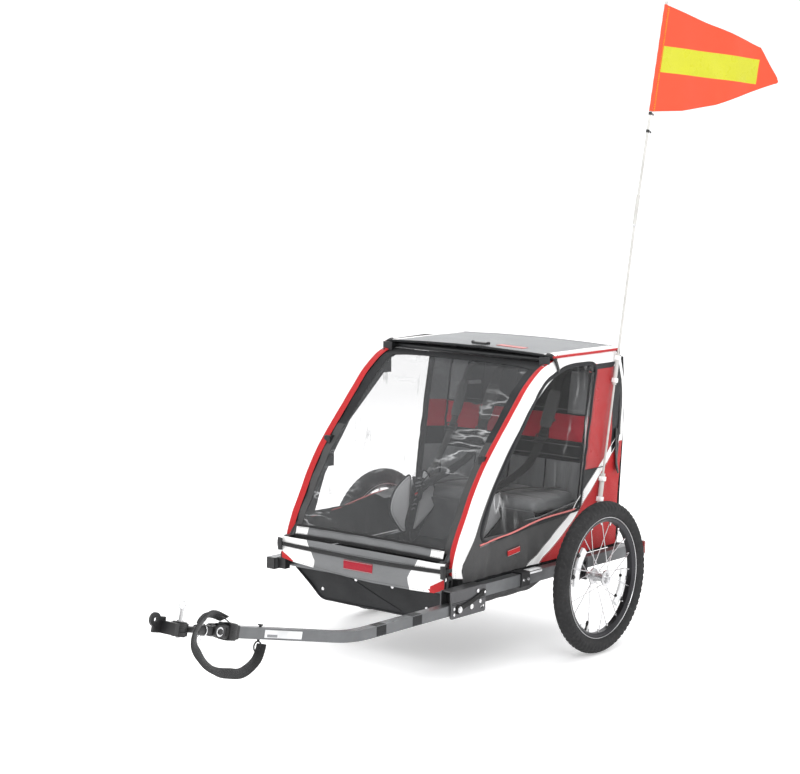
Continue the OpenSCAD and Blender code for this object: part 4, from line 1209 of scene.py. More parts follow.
def finish_mesh(o, levels=1):
    if levels:
        s = o.modifiers.new("s", "SUBSURF")
        s.levels = s.render_levels = levels
        dg = bpy.context.evaluated_depsgraph_get()
        me = bpy.data.meshes.new_from_object(o.evaluated_get(dg))
        o.modifiers.clear()
        o.data = me
    o.data.shade_smooth()
    return o


def slab(prof, x0, x1, n, inset=6):
    """A side profile (y, z) carried from x0 to x1, its ends a little smaller."""
    P = np.array(prof, float)
    c = P.mean(0)
    verts, faces = [], []
    k = len(P)
    xs_ = np.linspace(x0, x1, n)
    for i, x in enumerate(xs_):
        e = min(i, n - 1 - i)
        sc_ = 1 - (inset / 100 if e == 0 else 0)
        for p in P:
            q = c + (p - c) * sc_
            verts.append(V(x, q[0], q[1]))
    for i in range(n - 1):
        for j in range(k):
            l = (j + 1) % k
            faces.append((i * k + j, (i + 1) * k + j, (i + 1) * k + l, i * k + l))
    faces.append(tuple(range(k)))
    faces.append(tuple((n - 1) * k + j for j in reversed(range(k))))
    return verts, faces


cush = [(-107, 364), (-111, 375), (-101, 388), (-40, 391), (30, 393.5), (78, 394), (91, 388), (92, 370), (40, 356)]
for i, (a, b) in enumerate(((-229, -3), (3, 229))):
    v, f = slab(cush, a, b, 24)
    o = puff("seat_cushion_%d" % (i + 1), v, f, m["seat"], .005)
    co = np.array([p.co for p in o.data.vertices])
    # two sewn channels across each cushion
    for p in o.data.vertices:
        y = (p.co.y - AXLE_Y) * 1000
        d = sum(math.exp(-((y - q) / 5) ** 2) for q in (-48, 22))
        if p.co.z > .37:
            p.co.z -= .0032 * d
            p.co.z += .0012 * noise.noise(p.co * 45)
    finish_mesh(o, 1)
    done(o, "root", "seat_fabric", *(["seat_base"] if i == 0 else []), squash="cage")


def back_line(t):
    """Front face of the seat back: y and z for t from 0 (seat) to 1 (top)."""
    return np.interp(t, [0, .1, .96, 1], [99, 101, 141, 147]), 366 + 350 * t


def zone_back(x, z):
    # 0 grey, 1 red, 2 black
    if z > 598:
        return 2 if abs(x) < 170 else 0
    if z > 524:
        return 1 if (abs(x) > 150 or abs(x) < 50 or True) else 0
    if z > 474:
        return 2
    return 0


def backf(a, b, side=0):
    t = (b - 366) / 350
    y, z = back_line(t)
    w = 3.5 * math.cos(math.pi * a / 116) * (1 if t < .95 else .3)              # two seats side by side
    if b < 474:                                                          # gathered folds under the black band
        w += 4.2 * math.sin(a * .16 + 2.5 * nz((a, b, 1), .01)) * math.sin(math.pi * min(1, (b - 366) / 108)) ** .6
    elif b > 598:
        w += 1.2 * nz((a, b, 7), .02)
    else:
        w += 3.0 * nz((a * .35, b * 2.4, 4), .02) + 1.4 * math.sin((b + 18 * math.sin(a * .03)) * .13)
    edge = max(0, abs(a) - 205) / 27
    w -= 9 * edge ** 2
    return V(a, y - 3 - w * .9, z)


xs2 = np.linspace(-231, 231, 110)
zs2 = sorted(set([366, 368, 474, 524, 598, 714, 716] + list(np.linspace(366, 716, 74))))
ob = grid("seat_back_front", lambda u, v: backf(u, v), xs2, zs2, .003, [m["seat"], m["redin"], m["mesh"], m["char"]], zone=zone_back, inner=3)
done(ob, "root", "seat_fabric", "seat_back", squash="cage")


def backrear(u, v):
    t = (v - 366) / 350
    y = np.interp(t, [0, .9, 1], [122, 158, 157])
    bul = 2.0 * math.cos(math.pi * u / 232 * 1.5) + 1.6 * nz((u, v, 9), .015)
    return V(u, y + bul * (1 if abs(u) < 215 else .2), v)


v, f = slab([(106, 370), (112, 372), (148, 560), (157, 700), (151, 712), (146, 712), (126, 560)], -226, 226, 30)
o = puff("seat_back_pad", v, f, m["char"], .004)
finish_mesh(o, 0)
done(o, "root", "seat_fabric", squash="cage")
sm = Soup()
for z, r in ((598, .0024), (524, .0026), (474, .0026), (715, .0042), (368, .003)):
    P = np.array([backf(x, z) + np.array([0, -.0022, 0]) for x in np.linspace(-230, 230, 90)])
    v, f = sweep(P, ring(r, 8))
    sm.add(v, f, 0)
for x in (-230, -116, 0, 116, 230):
    P = np.array([backf(x, z) + np.array([0, -.0018, 0]) for z in np.linspace(368, 714, 60)])
    v, f = sweep(P, ring(.0022 if abs(x) != 230 else .004, 8))
    sm.add(v, f, 0)
for z in (608, 514, 484):
    stitches(np.array([backf(x, z) + np.array([0, -.002, 0]) for x in np.linspace(-222, 222, 100)]), (0, -1, 0), 1, sm, pitch=7)
done(sm.make("seat_back_trim", [m["black"], m["thread"]]), "root", "black_fabric", squash="cage")
# pale patch on the black top of the seat back: a plain reflective tab
P = curve([backf(x, 652 + (x + 160) * .12) + np.array([0, -.0028, 0]) for x in np.linspace(-206, -122, 8)], 20)
done(strap("seat_back_tab", P, .011, .0016, m["lgrey"], up=np.array([0, -1.0, 0])), "root", "webbing", squash="cage")

# wings that join the seat back to the side covers, and the hammock sides of the seat
for s, side in ((1, "left"), (-1, "right")):
    def W(u, v):
        x = 232 + (268 - 232) * u
        t = (v - 366) / 350
        y = back_line(t)[0] + (np.interp(v, [366, 463, 600, 716], [46, 58, 78, 104]) - back_line(t)[0]) * u * .75
        return V(s * x, y + 1.6 * nz((x, v, 1), .03) + 2 * math.sin(v * .08) * u * (1 - u), v)

    zw = sorted(set([366, 474, 524, 598, 714] + list(np.linspace(366, 714, 40))))
    ob = grid("seat_wing_" + side, W, np.linspace(0, 1, 8), zw, .0018 * s, [m["seat"], m["redin"], m["mesh"]], zone=lambda u, v: 2 if 474 < v < 524 else (1 if 524 < v < 598 else 0))
    done(ob, "root", "seat_fabric", squash="cage")

    def H(u, v):
        # fabric side from the cushion up to the side cover, under the window
        y = -150 + 250 * u
        x = 230 + 34 * v ** .7
        z = 352 + (8 + 30 * u) * v + 2.4 * math.sin(y * .12 + v) * v * (1 - v) * 3
        return V(s * x, y + 2 * nz((y, v * 60, 4), .02), z)

    ob = grid("seat_side_" + side, H, np.linspace(0, 1, 40), np.linspace(0, 1, 8), .0018, [m["seat"]])
    done(ob, "root", "seat_fabric", squash="cage")
    # top edge of the hammock from the seat back to the rear corner, bound in black with pink piping
    P = curve([V(s * 226, 140, 706), V(s * 240, 160, 698), V(s * 258, 190, 686), V(s * 266, 214, 676)], 30)
    sm = Soup()
    v, f = sweep(P, flat(.014, .004), up=np.array([s * .8, -.6, .1]))
    sm.add(v, f, 0)
    v, f = sweep(P + np.array([s * .001, -.001, .0085]), ring(.0021, 8))
    sm.add(v, f, 1)
    done(sm.make("hammock_edge_" + side, [m["black"], m["pink"]]), "root", "black_fabric", squash="cage")

# seat front: cloth hanging from the cushion down into the footwell
ob = grid("seat_front_drop", lambda u, v: V(u, -112 + 2.6 * math.sin(u * .09 + 2 * nz((u, v, 3), .01)) * math.sin(math.pi * v) + 66 * v * .9, 368 - 124 * v),
          np.linspace(-230, 230, 90), np.linspace(0, 1, 22), .0018, [m["seat"]])
done(ob, "root", "seat_fabric", squash="cage")


# ------------------------------------------------------------------ harness: straps, pads, buckles
def slot_buckle(soup, c, ax, up, w, h, t, mat):
    """A ladder slide: a frame with two bars, w wide, on axes ax and up."""
    n = np.cross(ax, up)
    r = .0022
    R = [c + ax * (w / 2) * a + up * (h / 2) * b for a, b in ((-1, -1), (1, -1), (1, 1), (-1, 1))]
    loop = curve([R[0] + ax * .002, R[1] - ax * .002, R[1] + up * .002, R[2] - up * .002, R[2] - ax * .002, R[3] + ax * .002, R[3] - up * .002, R[0] + up * .002], 40, closed=True)
    v, f = sweep(loop, ring(r, 8), closed=True)
    soup.add(v, f, mat)
    v, f = sweep([c - ax * w / 2, c + ax * w / 2], flat(.005, .004), up=n)
    soup.add(v, f, mat)


def pad_shape(name, pts, depth, to3, thick=.009):
    """A foam pad cut to an outline in a plane, crowned, bound round its edge."""
    P = curve(pts, 72, closed=True)
    c = P.mean(0)
    rings = [1, .93, .8, .6, .4, .2]
    verts, faces = [], []
    for sgn in (1, -1):
        for k, r in enumerate(rings):
            h = thick / 2 * (1 - r ** 4) ** .5 if r < 1 else 0
            for p in P:
                q = c + (p - c) * r
                verts.append(to3(q[0], q[1], sgn * (h + (.0007 if r < 1 else 0) + .0006 * nz((q[0], q[1], 1), .08))))
        verts.append(to3(c[0], c[1], sgn * (thick / 2 + .0007)))
    n, L = len(P), len(rings)
    for g in range(2):
        o = g * (n * L + 1)
        for k in range(L - 1):
            for i in range(n):
                j = (i + 1) % n
                q = (o + k * n + i, o + k * n + j, o + (k + 1) * n + j, o + (k + 1) * n + i)
                faces.append(q if g == 0 else q[::-1])
        for i in range(n):
            j = (i + 1) % n
            q = (o + (L - 1) * n + i, o + (L - 1) * n + j, o + n * L)
            faces.append(q if g == 0 else q[::-1])
    o = n * L + 1
    for i in range(n):
        j = (i + 1) % n
        faces.append((i, o + i, o + j, j))
    pad = build(name, verts, faces, m["pad"])
    sm = Soup()
    B = np.array([to3(p[0], p[1], 0) for p in P])
    v, f = sweep(B, ring(.0026, 8), closed=True)
    sm.add(v, f, 0)
    I = np.array([to3(*(c + (p - c) * .9), depth * (thick / 2 * (1 - .9 ** 4) ** .5 + .0012)) for p in np.vstack([P, P[:1]])])
    nn = unit(np.array(to3(c[0], c[1], depth * .01)) - np.array(to3(c[0], c[1], 0)))
    stitches(I, nn, 1, sm, pitch=4.5)
    edge = sm.make(name + "_binding", [m["black"], m["threadk"]])
    return pad, edge


PAD1 = [(-208, 436), (-268, 402), (-292, 352), (-262, 302), (-238, 286), (-222, 296), (-216, 352), (-210, 400)]
PAD2 = [(-150, 442), (-118, 408), (-106, 368), (-118, 340), (-160, 312), (-206, 290), (-192, 330), (-170, 384)]
k = 0
for cx, out in ((110, 1), (-110, -1)):
    for pts in (PAD1, PAD2):
        k += 1

        def to3(a, b, n, cx=cx):
            # the pads lean outwards at the foot and bow a little
            x = cx + (b - 360) * -.10 + 6 * math.sin((a + 200) * .012)
            return V(x, a + 18, b - 2) + np.array([n, n * .12, n * .1])

        pad, edge = pad_shape("shoulder_pad_%d" % k, pts, 1, to3)
        done(pad, "root", "pad_fabric", squash="cage")
        done(edge, "root", "black_fabric", squash="cage")

for i, cx in enumerate((100, -100)):
    sm = Soup()
    for dx in (50, -50):
        x = cx + dx
        # shoulder strap: from the seat back's top, hanging forward to the buckle
        P = curve([V(x * .97, 138, 708), V(x, 112, 690), V(x, 74, 610), V(x * .99, 38, 540), V(x * .97, -10, 478), V(cx + dx * .6, -70, 440), V(cx + dx * .3, -140, 414), V(cx + dx * .1, -176, 392)], 70)
        T = tangents(P)
        v, f = sweep(P, flat(.025, .0024), up=np.array([.15 * np.sign(dx), -.7, .7]))
        sm.add(v, f, 0)
        slot_buckle(sm, P[30] + np.array([0, -.002, .002]), np.array([1.0, 0, 0]), unit(T[30]), .034, .022, .004, 1)
        # padded sleeve on the strap
        Q = P[10:26]
        v, f = sweep(Q + np.array([0, -.0015, .0015]), [flat(.036 - .008 * (abs(j - 7.5) / 7.5) ** 6, .008 - .003 * (abs(j - 7.5) / 7.5) ** 4) for j in range(len(Q))], up=np.array([.15 * np.sign(dx), -.7, .7]))
        sm.add(v, f, 2)
        # lap strap
        P = curve([V(cx + dx * 1.5, 78, 404), V(cx + dx * 1.35, 40, 406), V(cx + dx, -20, 412), V(cx + dx * .7, -90, 414), V(cx + dx * .3, -150, 404), V(cx + dx * .1, -178, 388)], 50)
        v, f = sweep(P, flat(.024, .0022), up=np.array([0, .3, 1.0]))
        sm.add(v, f, 0)
    # centre strap running down between the two pale pads
    P = curve([V(cx + 8, -176, 424), V(cx + 4, -184, 400), V(cx + 2, -196, 350), V(cx, -212, 305), V(cx - 4, -212, 280), V(cx - 8, -190, 268), V(cx - 10, -150, 300), V(cx - 10, -112, 352)], 60)
    v, f = sweep(P, flat(.027, .0028), up=np.array([1.0, -.35, .1]))
    sm.add(v, f, 0)
    for z0 in (.417, .408):
        c = V(cx + 7, -178, z0 * 1000)
        v, f = sweep([c + np.array([.003, -.016, -.001]), c + np.array([.003, .016, .001])], flat(.0035, .0075), up=np.array([1.0, 0, 0]))
        sm.add(v, f, 3)
    # plain pale chevrons woven on the strap
    for j in range(5):
        c = V(cx + 6.5 - j * .9, -184 - j * 3.4, 396 - j * 12)
        v, f = sweep([c + np.array([.0022, -.008, -.003]), c + np.array([.0024, 0, .002]), c + np.array([.0022, .008, -.003])], flat(.0028, .0012), up=np.array([1.0, -.2, 0]))
        sm.add(v, f, 3)
    done(sm.make("harness_webbing_%d" % (i + 1), [m["web"], m["plastic"], m["char"], m["lgrey"]]), "root", "webbing", *(["harness"] if i == 0 else []), squash="cage")

    # the buckle: a rounded shell with a pressed-in button and two prongs
    sm = Soup()
    c = V(cx, -178, 388)
    prof = []
    for q in np.linspace(-1, 1, 15):
        w = .018 * (1 - abs(q) ** 5 * .45)
        t = .0065 * (1 - abs(q) ** 6 * .5)
        prof.append(flat(2 * w, 2 * t, .004))
    v, f = sweep([c + np.array([0, q * .004, q * .022]) for q in np.linspace(-1, 1, 15)], prof, up=np.array([0, -1.0, .2]))
    sm.add(v, f, 0)
    v, f = sweep([c + np.array([0, -.0062 - a, b]) for a, b in ((0, -.002), (.0022, -.001), (.003, .0), (.003, .001))], [ring(.0082, 18), ring(.0078, 18), ring(.006, 18), ring(.001, 18)], up=np.array([1.0, 0, 0]))
    sm.add(v, f, 1)
    for dx in (-.013, .013):
        v, f = sweep([c + np.array([dx * .7, .003, .018]), c + np.array([dx, .004, .032]), c + np.array([dx * 1.25, .005, .04])], flat(.009, .005), up=np.array([0, -1.0, .2]))
        sm.add(v, f, 0)
    done(sm.make("buckle_%d" % (i + 1), [m["plastic"], m["redpl"]]), "root", "black_plastic", *(["harness_buckle"] if i == 0 else []), squash="cage")


# ------------------------------------------------------------------ rear panel
def rear(a, b):
    y = np.interp(b, [246, 380, 520, 620, 690, 757], [245, 248, 256, 257, 252, 244])
    k = (1 - (a / 262) ** 4)
    return V(a, y + (2.6 * nz((a, b, 2), .01) + 2.2 * math.sin(a * .021) + 1.0 * math.sin(b * .05 + nz((a, b, 1), .01) * 3)) * k - 3 * (a / 262) ** 6, b)


ob = cloth("rear_cover", [(-262, 246), (262, 246), (266, 420), (264, 620), (262, 700), (256, 745), (244, 758), (-244, 758), (-256, 745), (-262, 700), (-264, 620), (-266, 420)], rear, 10, -.0018,
           [m["char"], m["black"], m["red"], m["lgrey"]], cuts=[[(-300, 560), (300, 560)], [(-300, 690), (300, 690)], [(-300, 380), (300, 380)], [(-300, 392), (300, 392)]],
           zone=lambda a, b: 1 if b > 690 else (0 if b > 560 else (1 if b > 392 else (3 if b > 380 else 2))), inner=1)
done(ob, "root", "black_fabric", "rear_panel", squash="cage")
sm = Soup()
for z in (560, 690, 380, 392, 250):
    P = np.array([rear(x, z) + np.array([0, .0012, 0]) for x in np.linspace(-260, 260, 60)])
    v, f = sweep(P, ring(.0018, 8))
    sm.add(v, f, 0)
    stitches(P + np.array([0, .0002, .005]), (0, 1, 0), 1, sm, pitch=6)
for s in (1, -1):
    P = curve([rear(s * 262, z) + np.array([s * .001, .001, 0]) for z in np.linspace(250, 750, 20)], 70)
    v, f = sweep(P, ring(.003, 8))
    sm.add(v, f, 0)
    # roll-up straps with side-release clips
    P = curve([rear(s * 120, z) + np.array([0, .003, 0]) for z in np.linspace(700, 400, 12)], 50)
    v, f = sweep(P, flat(.02, .002), up=np.array([0, 1.0, 0]))
    sm.add(v, f, 2)
    c = rear(s * 120, 470) + np.array([0, .007, 0])
    v, f = sweep([c + np.array([0, 0, q * .026]) for q in np.linspace(-1, 1, 9)], [flat(.03 * (1 - abs(q) ** 4 * .3), .009 * (1 - abs(q) ** 4 * .4), .003) for q in np.linspace(-1, 1, 9)], up=np.array([0, 1.0, 0]))
    sm.add(v, f, 3)
done(sm.make("rear_cover_trim", [m["black"], m["thread"], m["web"], m["plastic"]]), "root", "black_fabric", squash="cage")


# ------------------------------------------------------------------ retention strap on the tow bracket
lo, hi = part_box("retention_strap")
a3, b3 = V(311, -537, 196), V(311, -434, 224)
a3[0] = b3[0] = (lo.x + hi.x) / 2
d = unit(b3 - a3)
sm = Soup()
P = np.array([a3 + d * .0105 + (b3 - a3 - d * .0165) * t + np.array([.0008 * math.sin(math.pi * t), 0, -.0015 * math.sin(math.pi * t)]) for t in np.linspace(0, 1, 24)])
v, f = sweep(P, [flat(.011 + .004 * (2 * t - 1) ** 4, .0034, .0012) for t in np.linspace(0, 1, 24)], up=np.array([1.0, 0, 0]))
sm.add(v, f, 0)
for c, r in ((a3, .0098), (b3, .0056)):
    C = [c + np.array([0, math.cos(t) * r, math.sin(t) * r]) for t in np.linspace(0, 2 * math.pi, 41)[:-1]]
    v, f = sweep(C, flat(.0036, .0034, .001), up=np.array([1.0, 0, 0]), closed=True)
    sm.add(v, f, 0)
ob = sm.make("retention_strap_rubber", [m["rubber"]])
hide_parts("retention_strap")
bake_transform(ob)

# pressed lines, fasteners and the spare hole's rim on the bracket; strap stud
lo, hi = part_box("tow_bracket")
xo = hi.x
sm = Soup()
for z in (209.5, 213.5):
    P = [np.array([xo + .0002, V(0, y, 0)[1], z / 1000]) for y in np.linspace(-563, -429, 30)]
    v, f = sweep(P, flat(.0016, .0012), up=np.array([1.0, 0, 0]))
    sm.add(v, f, 0)
for y, z, r in ((-448, 203, 5.5), (-555, 200, 4.2), (-555, 186, 4.2), (-436, 190, 3.2)):
    c = np.array([xo, V(0, y, 0)[1], z / 1000])
    e = np.array([1.0, 0, 0])
    v, f = sweep([c - e * .0005, c + e * .0018, c + e * .0027, c + e * .003], [ring(r / 1000, 20), ring(r / 1000, 20), ring(r * .72 / 1000, 20), ring(r * .2 / 1000, 20)])
    sm.add(v, f, 1)
done(sm.make("bracket_details", [m["black"], m["steel"]]), "root", "bracket_metal")

# ------------------------------------------------------------------ frame trim
sm = Soup()
lo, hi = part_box("rail_left")
for s in (1, -1):
    # pale patch on the rail's top face and outer side, just behind the collar
    c = [V(s * 291, y, 240.9) for y in np.linspace(-231, -172, 12)]
    v, f = sweep(c, flat(.022, .0012), up=np.array([0, 0, 1.0]))
    sm.add(v, f, 0)
    c = [V(s * 305.5, y, 237) for y in np.linspace(-231, -176, 12)]
    v, f = sweep(c, flat(.005, .0012), up=np.array([s, 0, 0]))
    sm.add(v, f, 0)
    for y in (-262, -242):
        c = V(s * 309, y, 225)
        e = np.array([s, 0, 0])
        v, f = sweep([c - e * .0005, c + e * .0014, c + e * .002], [ring(.0042, 16), ring(.004, 16), ring(.0012, 16)])
        sm.add(v, f, 1)
done(sm.make("rail_patch_and_screws", [m["reflect"], m["steel"]]), "root", "ivory")

# tape bands and a plain label on the tow arm
ax = 292
sm = Soup()


def arm_band(y0, y1, mat, t=.0006):
    lo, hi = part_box("tow_arm")
    w = (hi.x - lo.x) / 2 + t / 2
    prof = [(-w + .002, -w), (w - .002, -w), (w, -w + .002), (w, w - .002), (w - .002, w), (-w + .002, w), (-w, w - .002), (-w, -w + .002)]
    z = 196
    v, f = sweep([V(ax, y, z) for y in np.linspace(y0, y1, 6)], prof, up=np.array([0, 0, 1.0]))
    sm.add(v, f, mat)


arm_band(-712, -676, 0)
arm_band(-848, -812, 0)
done(sm.make("arm_tape_bands", [m["black"]]), "arm", "frame_grey")
th = math.radians(12)
cth, sth = math.cos(th), math.sin(th)


def at_end(x, y, z):
    return V(ax + x, -1321 + y * cth + z * sth, 279.3 - y * sth + z * cth)


sm = Soup()
P = [at_end(13.1, y, 0) for y in np.linspace(86, 212, 30)]
v, f = sweep(P, flat(.017, .0009), up=np.array([1.0, 0, 0]))
sm.add(v, f, 0)
P = [at_end(13.5, y, -4) for y in np.linspace(94, 128, 8)]
v, f = sweep(P, flat(.006, .0007), up=np.array([1.0, 0, 0]))
sm.add(v, f, 1)
done(sm.make("arm_label_plain", [m["label"], m["grey"]]), "arm", "ivory")

# ------------------------------------------------------------------ hitch trim: strap loops, clip and anchor ring
sm = Soup()


def loop(c, ax1, ax2, r1, r2, w, mat, n=40, k=10):
    C = [c + ax1 * math.cos(t) * r1 + ax2 * math.sin(t) * r2 for t in np.linspace(0, 2 * math.pi, n + 1)[:-1]]
    v, f = sweep(C, ring(w, k), closed=True)
    sm.add(v, f, mat)


X, Y, Z = np.array([1.0, 0, 0]), np.array([0, cth, -sth]), np.array([0, sth, cth])
# webbing collar round the receiver
w = .0172
prof = [(-w, -w), (w, -w), (w, w), (-w, w)]
C = [at_end(a * 1000, -22, b * 1000) for a, b in ((w, -w), (w, w), (-w, w), (-w, -w))]
C = curve([at_end(17, -22, -14), at_end(17.6, -22, 0), at_end(17, -22, 15), at_end(12, -22, 17.6), at_end(-12, -22, 17.6), at_end(-17, -22, 14), at_end(-17.4, -22, 0), at_end(-17, -22, -14),
           at_end(-12, -22, -17.4), at_end(12, -22, -17.4)], 80, closed=True)
v, f = sweep(C, flat(.024, .0022), up=np.array([c - at_end(0, -22, 0) for c in C]), closed=True)
sm.add(v, f, 0)
# safety loop of webbing over the top of the hitch head
P = curve([at_end(12, -30, 19), at_end(10, -52, 30), at_end(4, -72, 36), at_end(-2, -92, 34), at_end(-4, -104, 24), at_end(-2, -112, 13)], 50)
v, f = sweep(P, flat(.012, .0024), up=np.array([.2, -.2, 1.0]))
sm.add(v, f, 0)
# flat bolt washer with shine
c = at_end(15.6, -64, 0)
v, f = sweep([c, c + X * .0016, c + X * .0019], [ring(.0105, 26), ring(.0105, 26), ring(.009, 26)])
sm.add(v, f, 1)
# label window plate on the receiver
P = [at_end(15.9, y, 0) for y in np.linspace(-44, -8, 8)]
v, f = sweep(P, flat(.018, .0012), up=X)
sm.add(v, f, 2)
done(sm.make("hitch_webbing_and_washer", [m["web"], m["steel"], m["rubber"]]), "arm", "webbing")
# bright spring clip round the coupler neck
sm = Soup()
loop(at_end(0, -100, 0), X, Z, .0128, .0128, .0013, 0)
loop(at_end(0, -108, -20), Y, Z, .006, .009, .0011, 0)
done(sm.make("coupler_ring", [m["steel"]]), "coupler", "steel")

# ------------------------------------------------------------------ flag and pole trim
lo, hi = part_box("pole_upper")
flo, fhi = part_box("flag")
base = V(282, 122, 368)
PX = np.array([1.0, 0, 0])


def lean(deg):
    t = math.radians(deg)
    return np.array([0, math.cos(t), -math.sin(t)]), np.array([0, math.sin(t), math.cos(t)])


PY, PZ = lean(10)
UY, UZ = lean(12)
ubase = base + PZ * .787
q = math.radians(75.5)
FX, FY = PX * math.cos(q) + UY * math.sin(q), -PX * math.sin(q) + UY * math.cos(q)
S1, S0 = 558.0, 268.0


def top_at(a):
    return float(np.interp(a, [0, 200, 385, 458, 470], [S1, S1 - 12, S1 - 24, S1 - 88, S1 - 102]))


def bot_at(a):
    return float(np.interp(a, [0, 110, 240, 450, 470], [S0, S0 + 26, S0 + 72, S1 - 112, S1 - 102]))


def flagf(a, b):
    r = max(0, a) / 470
    w = (3.4 * math.sin(a * .030 + b * .006) + 2.6 * math.sin(a * .013 - b * .011 + 1.2) + 1.5 * nz((a, b, 5), .02)) * min(1, r * 3.2)
    return ubase + FX * (a / 1000) + UZ * (b / 1000) + FY * (w / 1000)


TA = [(0, S0), (110, bot_at(110)), (240, bot_at(240)), (350, bot_at(350)), (450, bot_at(450)), (462, S1 - 108), (468, S1 - 102), (464, S1 - 96), (456, top_at(456)), (400, top_at(400)), (385, top_at(385)), (374, top_at(374)),
      (200, top_at(200)), (100, top_at(100)), (0, S1)]
TA = [(max(a, 4.6), b) for a, b in TA]
# the yellow reflective strip runs across the flag, a little lower than its middle
SA, SB = [(-20, 392), (500, 471)], [(-20, 352), (500, 443)]
STRIP_HI = lambda a: 447 + a * .139
STRIP_LO = lambda a: 376 + a * .144


def zflag(a, b):
    return 1 if STRIP_LO(a) < b < STRIP_HI(a) and 14 < a < 388 else 0


ob = cloth("flag_cloth", TA, flagf, 7, .0007, [m["orange"], m["yellow"]],
           cuts=[[(14, STRIP_HI(14)), (388, STRIP_HI(388))], [(14, STRIP_LO(14)), (388, STRIP_LO(388))], [(14, STRIP_LO(14)), (14, STRIP_HI(14))], [(388, STRIP_LO(388)), (388, STRIP_HI(388))]], zone=zflag)
area = ob["flat_area"]
done(ob, "pennant", "flag_orange", "flag")
sm = Soup()
# the sewn sleeve round the pole
P = [ubase + UZ * (s / 1000) for s in np.linspace(S0, S1, 40)]
prof = []
for i in range(40):
    wob = .0003 * math.sin(i * 1.3)
    prof.append([((.0046 + wob) * math.cos(t) * 1.0, (.0046 + wob) * math.sin(t)) for t in np.linspace(0, 2 * math.pi, 17)[:-1]])
v, f = sweep(P, prof, up=FX)
sm.add(v, f, 0)
for off in (9.5, 12.5):
    stitches(np.array([flagf(off, b) + FY * .0005 for b in np.linspace(S0 + 4, S1 - 4, 30)]), FY, 1, sm, pitch=5)
    stitches(np.array([flagf(off, b) - FY * .0005 for b in np.linspace(S0 + 4, S1 - 4, 30)]), -FY, 1, sm, pitch=5)
up_edge = np.array([flagf(a, top_at(a) - 1.2) for a in np.linspace(5, 462, 60)])
dn_edge = np.array([flagf(a, bot_at(a) + 1.2) for a in np.linspace(5, 462, 60)])
for E2 in (up_edge, dn_edge):
    v, f = sweep(E2, flat(.004, .0016), up=FY)
    sm.add(v, f, 0)
done(sm.make("flag_sleeve_and_hem", [m["orange"], m["yellow"]]), "pennant", "flag_orange")
# pole: bright ferrule sleeve, end cap and the two small clips that keep the flag up
sm = Soup()
c = base + PZ * .746
v, f = sweep([c - PZ * .0005, c, c + PZ * .002, c + PZ * .0025], [ring(.0047, 20), ring(.0052, 20), ring(.0052, 20), ring(.0047, 20)])
sm.add(v, f, 0)
v, f = sweep([base + PZ * s for s in (.742, .7425, .7455, .746)], [ring(.0032, 16), ring(.004, 16), ring(.004, 16), ring(.0044, 16)])
sm.add(v, f, 0)
done(sm.make("ferrule_rim", [m["alu"]]), "pole", "ivory")
sm = Soup()
v, f = sweep([ubase + UZ * s for s in (.5615, .562, .5655, .567, .5675)], [ring(.0031, 16), ring(.0042, 16), ring(.0042, 16), ring(.003, 16), ring(.0008, 16)])
sm.add(v, f, 0)
for s_, d in ((.262, 1), (.214, -1)):
    v, f = sweep([ubase + UZ * (s_ + z) for z in (-.004, -.0035, .0035, .004)], [ring(.0033, 16), ring(.0047, 16), ring(.0047, 16), ring(.0033, 16)])
    sm.add(v, f, 1)
    v, f = sweep([ubase + UZ * s_ + FX * .004, ubase + UZ * (s_ + .001) + FX * .009, ubase + UZ * (s_ - .003) + FX * .0115], flat(.005, .0022), up=UZ)
    sm.add(v, f, 1)
done(sm.make("pole_cap_and_clips", [m["ivory"], m["plastic"]]), "pole", "ivory")
# cloth bands that hold the flag holder's tubes to the side cover
sm = Soup()
for s_ in (.012, .066, .330, .390):
    c = base + PZ * s_
    r = .0068 if s_ < .2 else .0058
    P = curve([c + PX * (-r) + PY * (r * .9), c + PX * (r * .9) + PY * (r * 1.0), c + PX * (r * 1.15), c + PX * (r * .9) - PY * (r * 1.0), c - PX * r - PY * (r * .9)], 24)
    v, f = sweep(P, flat(.012, .0016), up=np.array([p - c for p in P]))
    sm.add(v, f, 0)
done(sm.make("pole_holder_bands", [m["white"]]), "root", "sleeve_fabric")


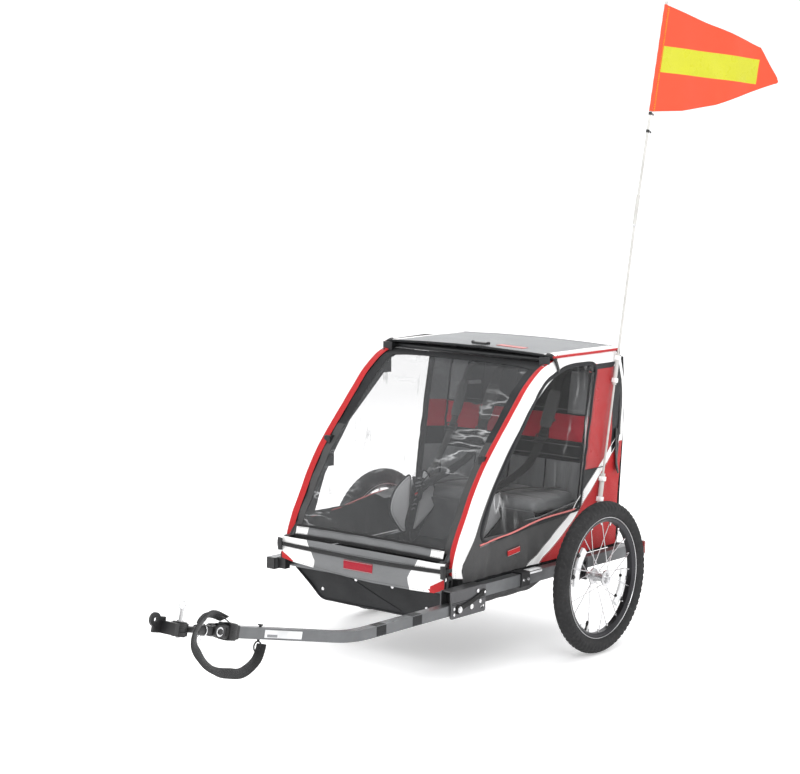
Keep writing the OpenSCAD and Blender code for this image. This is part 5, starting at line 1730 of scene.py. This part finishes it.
# ------------------------------------------------------------------ floor and light
def floor():
    M = Mat("studio_floor", .55, spec=.25)
    c = M.ramp(M.noise(.9, 4), [(.3, (.86, .86, .865)), (.7, (.9, .9, .905))])
    M.base(c)
    M.bump(M.noise(220, 3), .0002, .2)
    M.b.inputs["Emission Color"].default_value = (1, 1, 1, 1)
    M.b.inputs["Emission Strength"].default_value = .3
    me = bpy.data.meshes.new("studio_floor")
    R = 40
    # a floor that curves up into a backdrop far behind the object
    rows = [(-R, 0)] + [(y, 0) for y in (-10, 0, 6)] + [(6 + 6 * math.sin(a), 6 - 6 * math.cos(a)) for a in np.linspace(.1, math.pi / 2, 10)] + [(12, R)]
    d = np.array([-math.sin(math.radians(37.96)), math.cos(math.radians(37.96))])
    n = np.array([d[1], -d[0]])
    verts = []
    for a, z in rows:
        for w in (-R, R):
            p = d * a + n * w
            verts.append((p[0], p[1], z - .0005))
    faces = [(2 * i, 2 * i + 1, 2 * i + 3, 2 * i + 2) for i in range(len(rows) - 1)]
    me.from_pydata(verts, [], faces)
    me.materials.append(M.m)
    me.shade_smooth()
    ob = bpy.data.objects.new("studio_floor", me)
    bpy.context.scene.collection.objects.link(ob)
    ob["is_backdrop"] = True


floor()


def area(name, loc, aim, size, power, col=(1, 1, 1)):
    L = bpy.data.lights.new(name, "AREA")
    L.shape = "RECTANGLE"
    L.size, L.size_y = size
    L.energy = power
    L.color = col
    o = bpy.data.objects.new(name, L)
    bpy.context.scene.collection.objects.link(o)
    o.location = loc
    o.rotation_euler = (Vector(aim) - Vector(loc)).to_track_quat("-Z", "Y").to_euler()
    return o


area("key", (2.2, -2.8, 3.4), (0, .2, .4), (2.4, 1.8), 88)
area("fill", (4.2, 1.2, 1.8), (.2, .3, .5), (2.0, 2.0), 26)
area("front", (-2.6, -4.0, 2.0), (0, 0, .5), (2.4, 2.0), 34)
area("top", (0, .6, 4.2), (0, .3, 0), (3.2, 3.2), 62)
area("rim", (-2.4, 3.2, 2.6), (0, .3, .6), (2.0, 1.6), 30)
w = bpy.data.worlds.new("studio")
bpy.context.scene.world = w
w.use_nodes = True
w.node_tree.nodes["Background"].inputs[0].default_value = (1, 1, 1, 1)
w.node_tree.nodes["Background"].inputs[1].default_value = .8
bpy.context.scene.view_settings.view_transform = "Standard"

a, b = CAD_BOX
a2, b2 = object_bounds()
{"cad": [[float(x) for x in a], [float(x) for x in b]], "visual": [[float(x) for x in a2], [float(x) for x in b2]]}
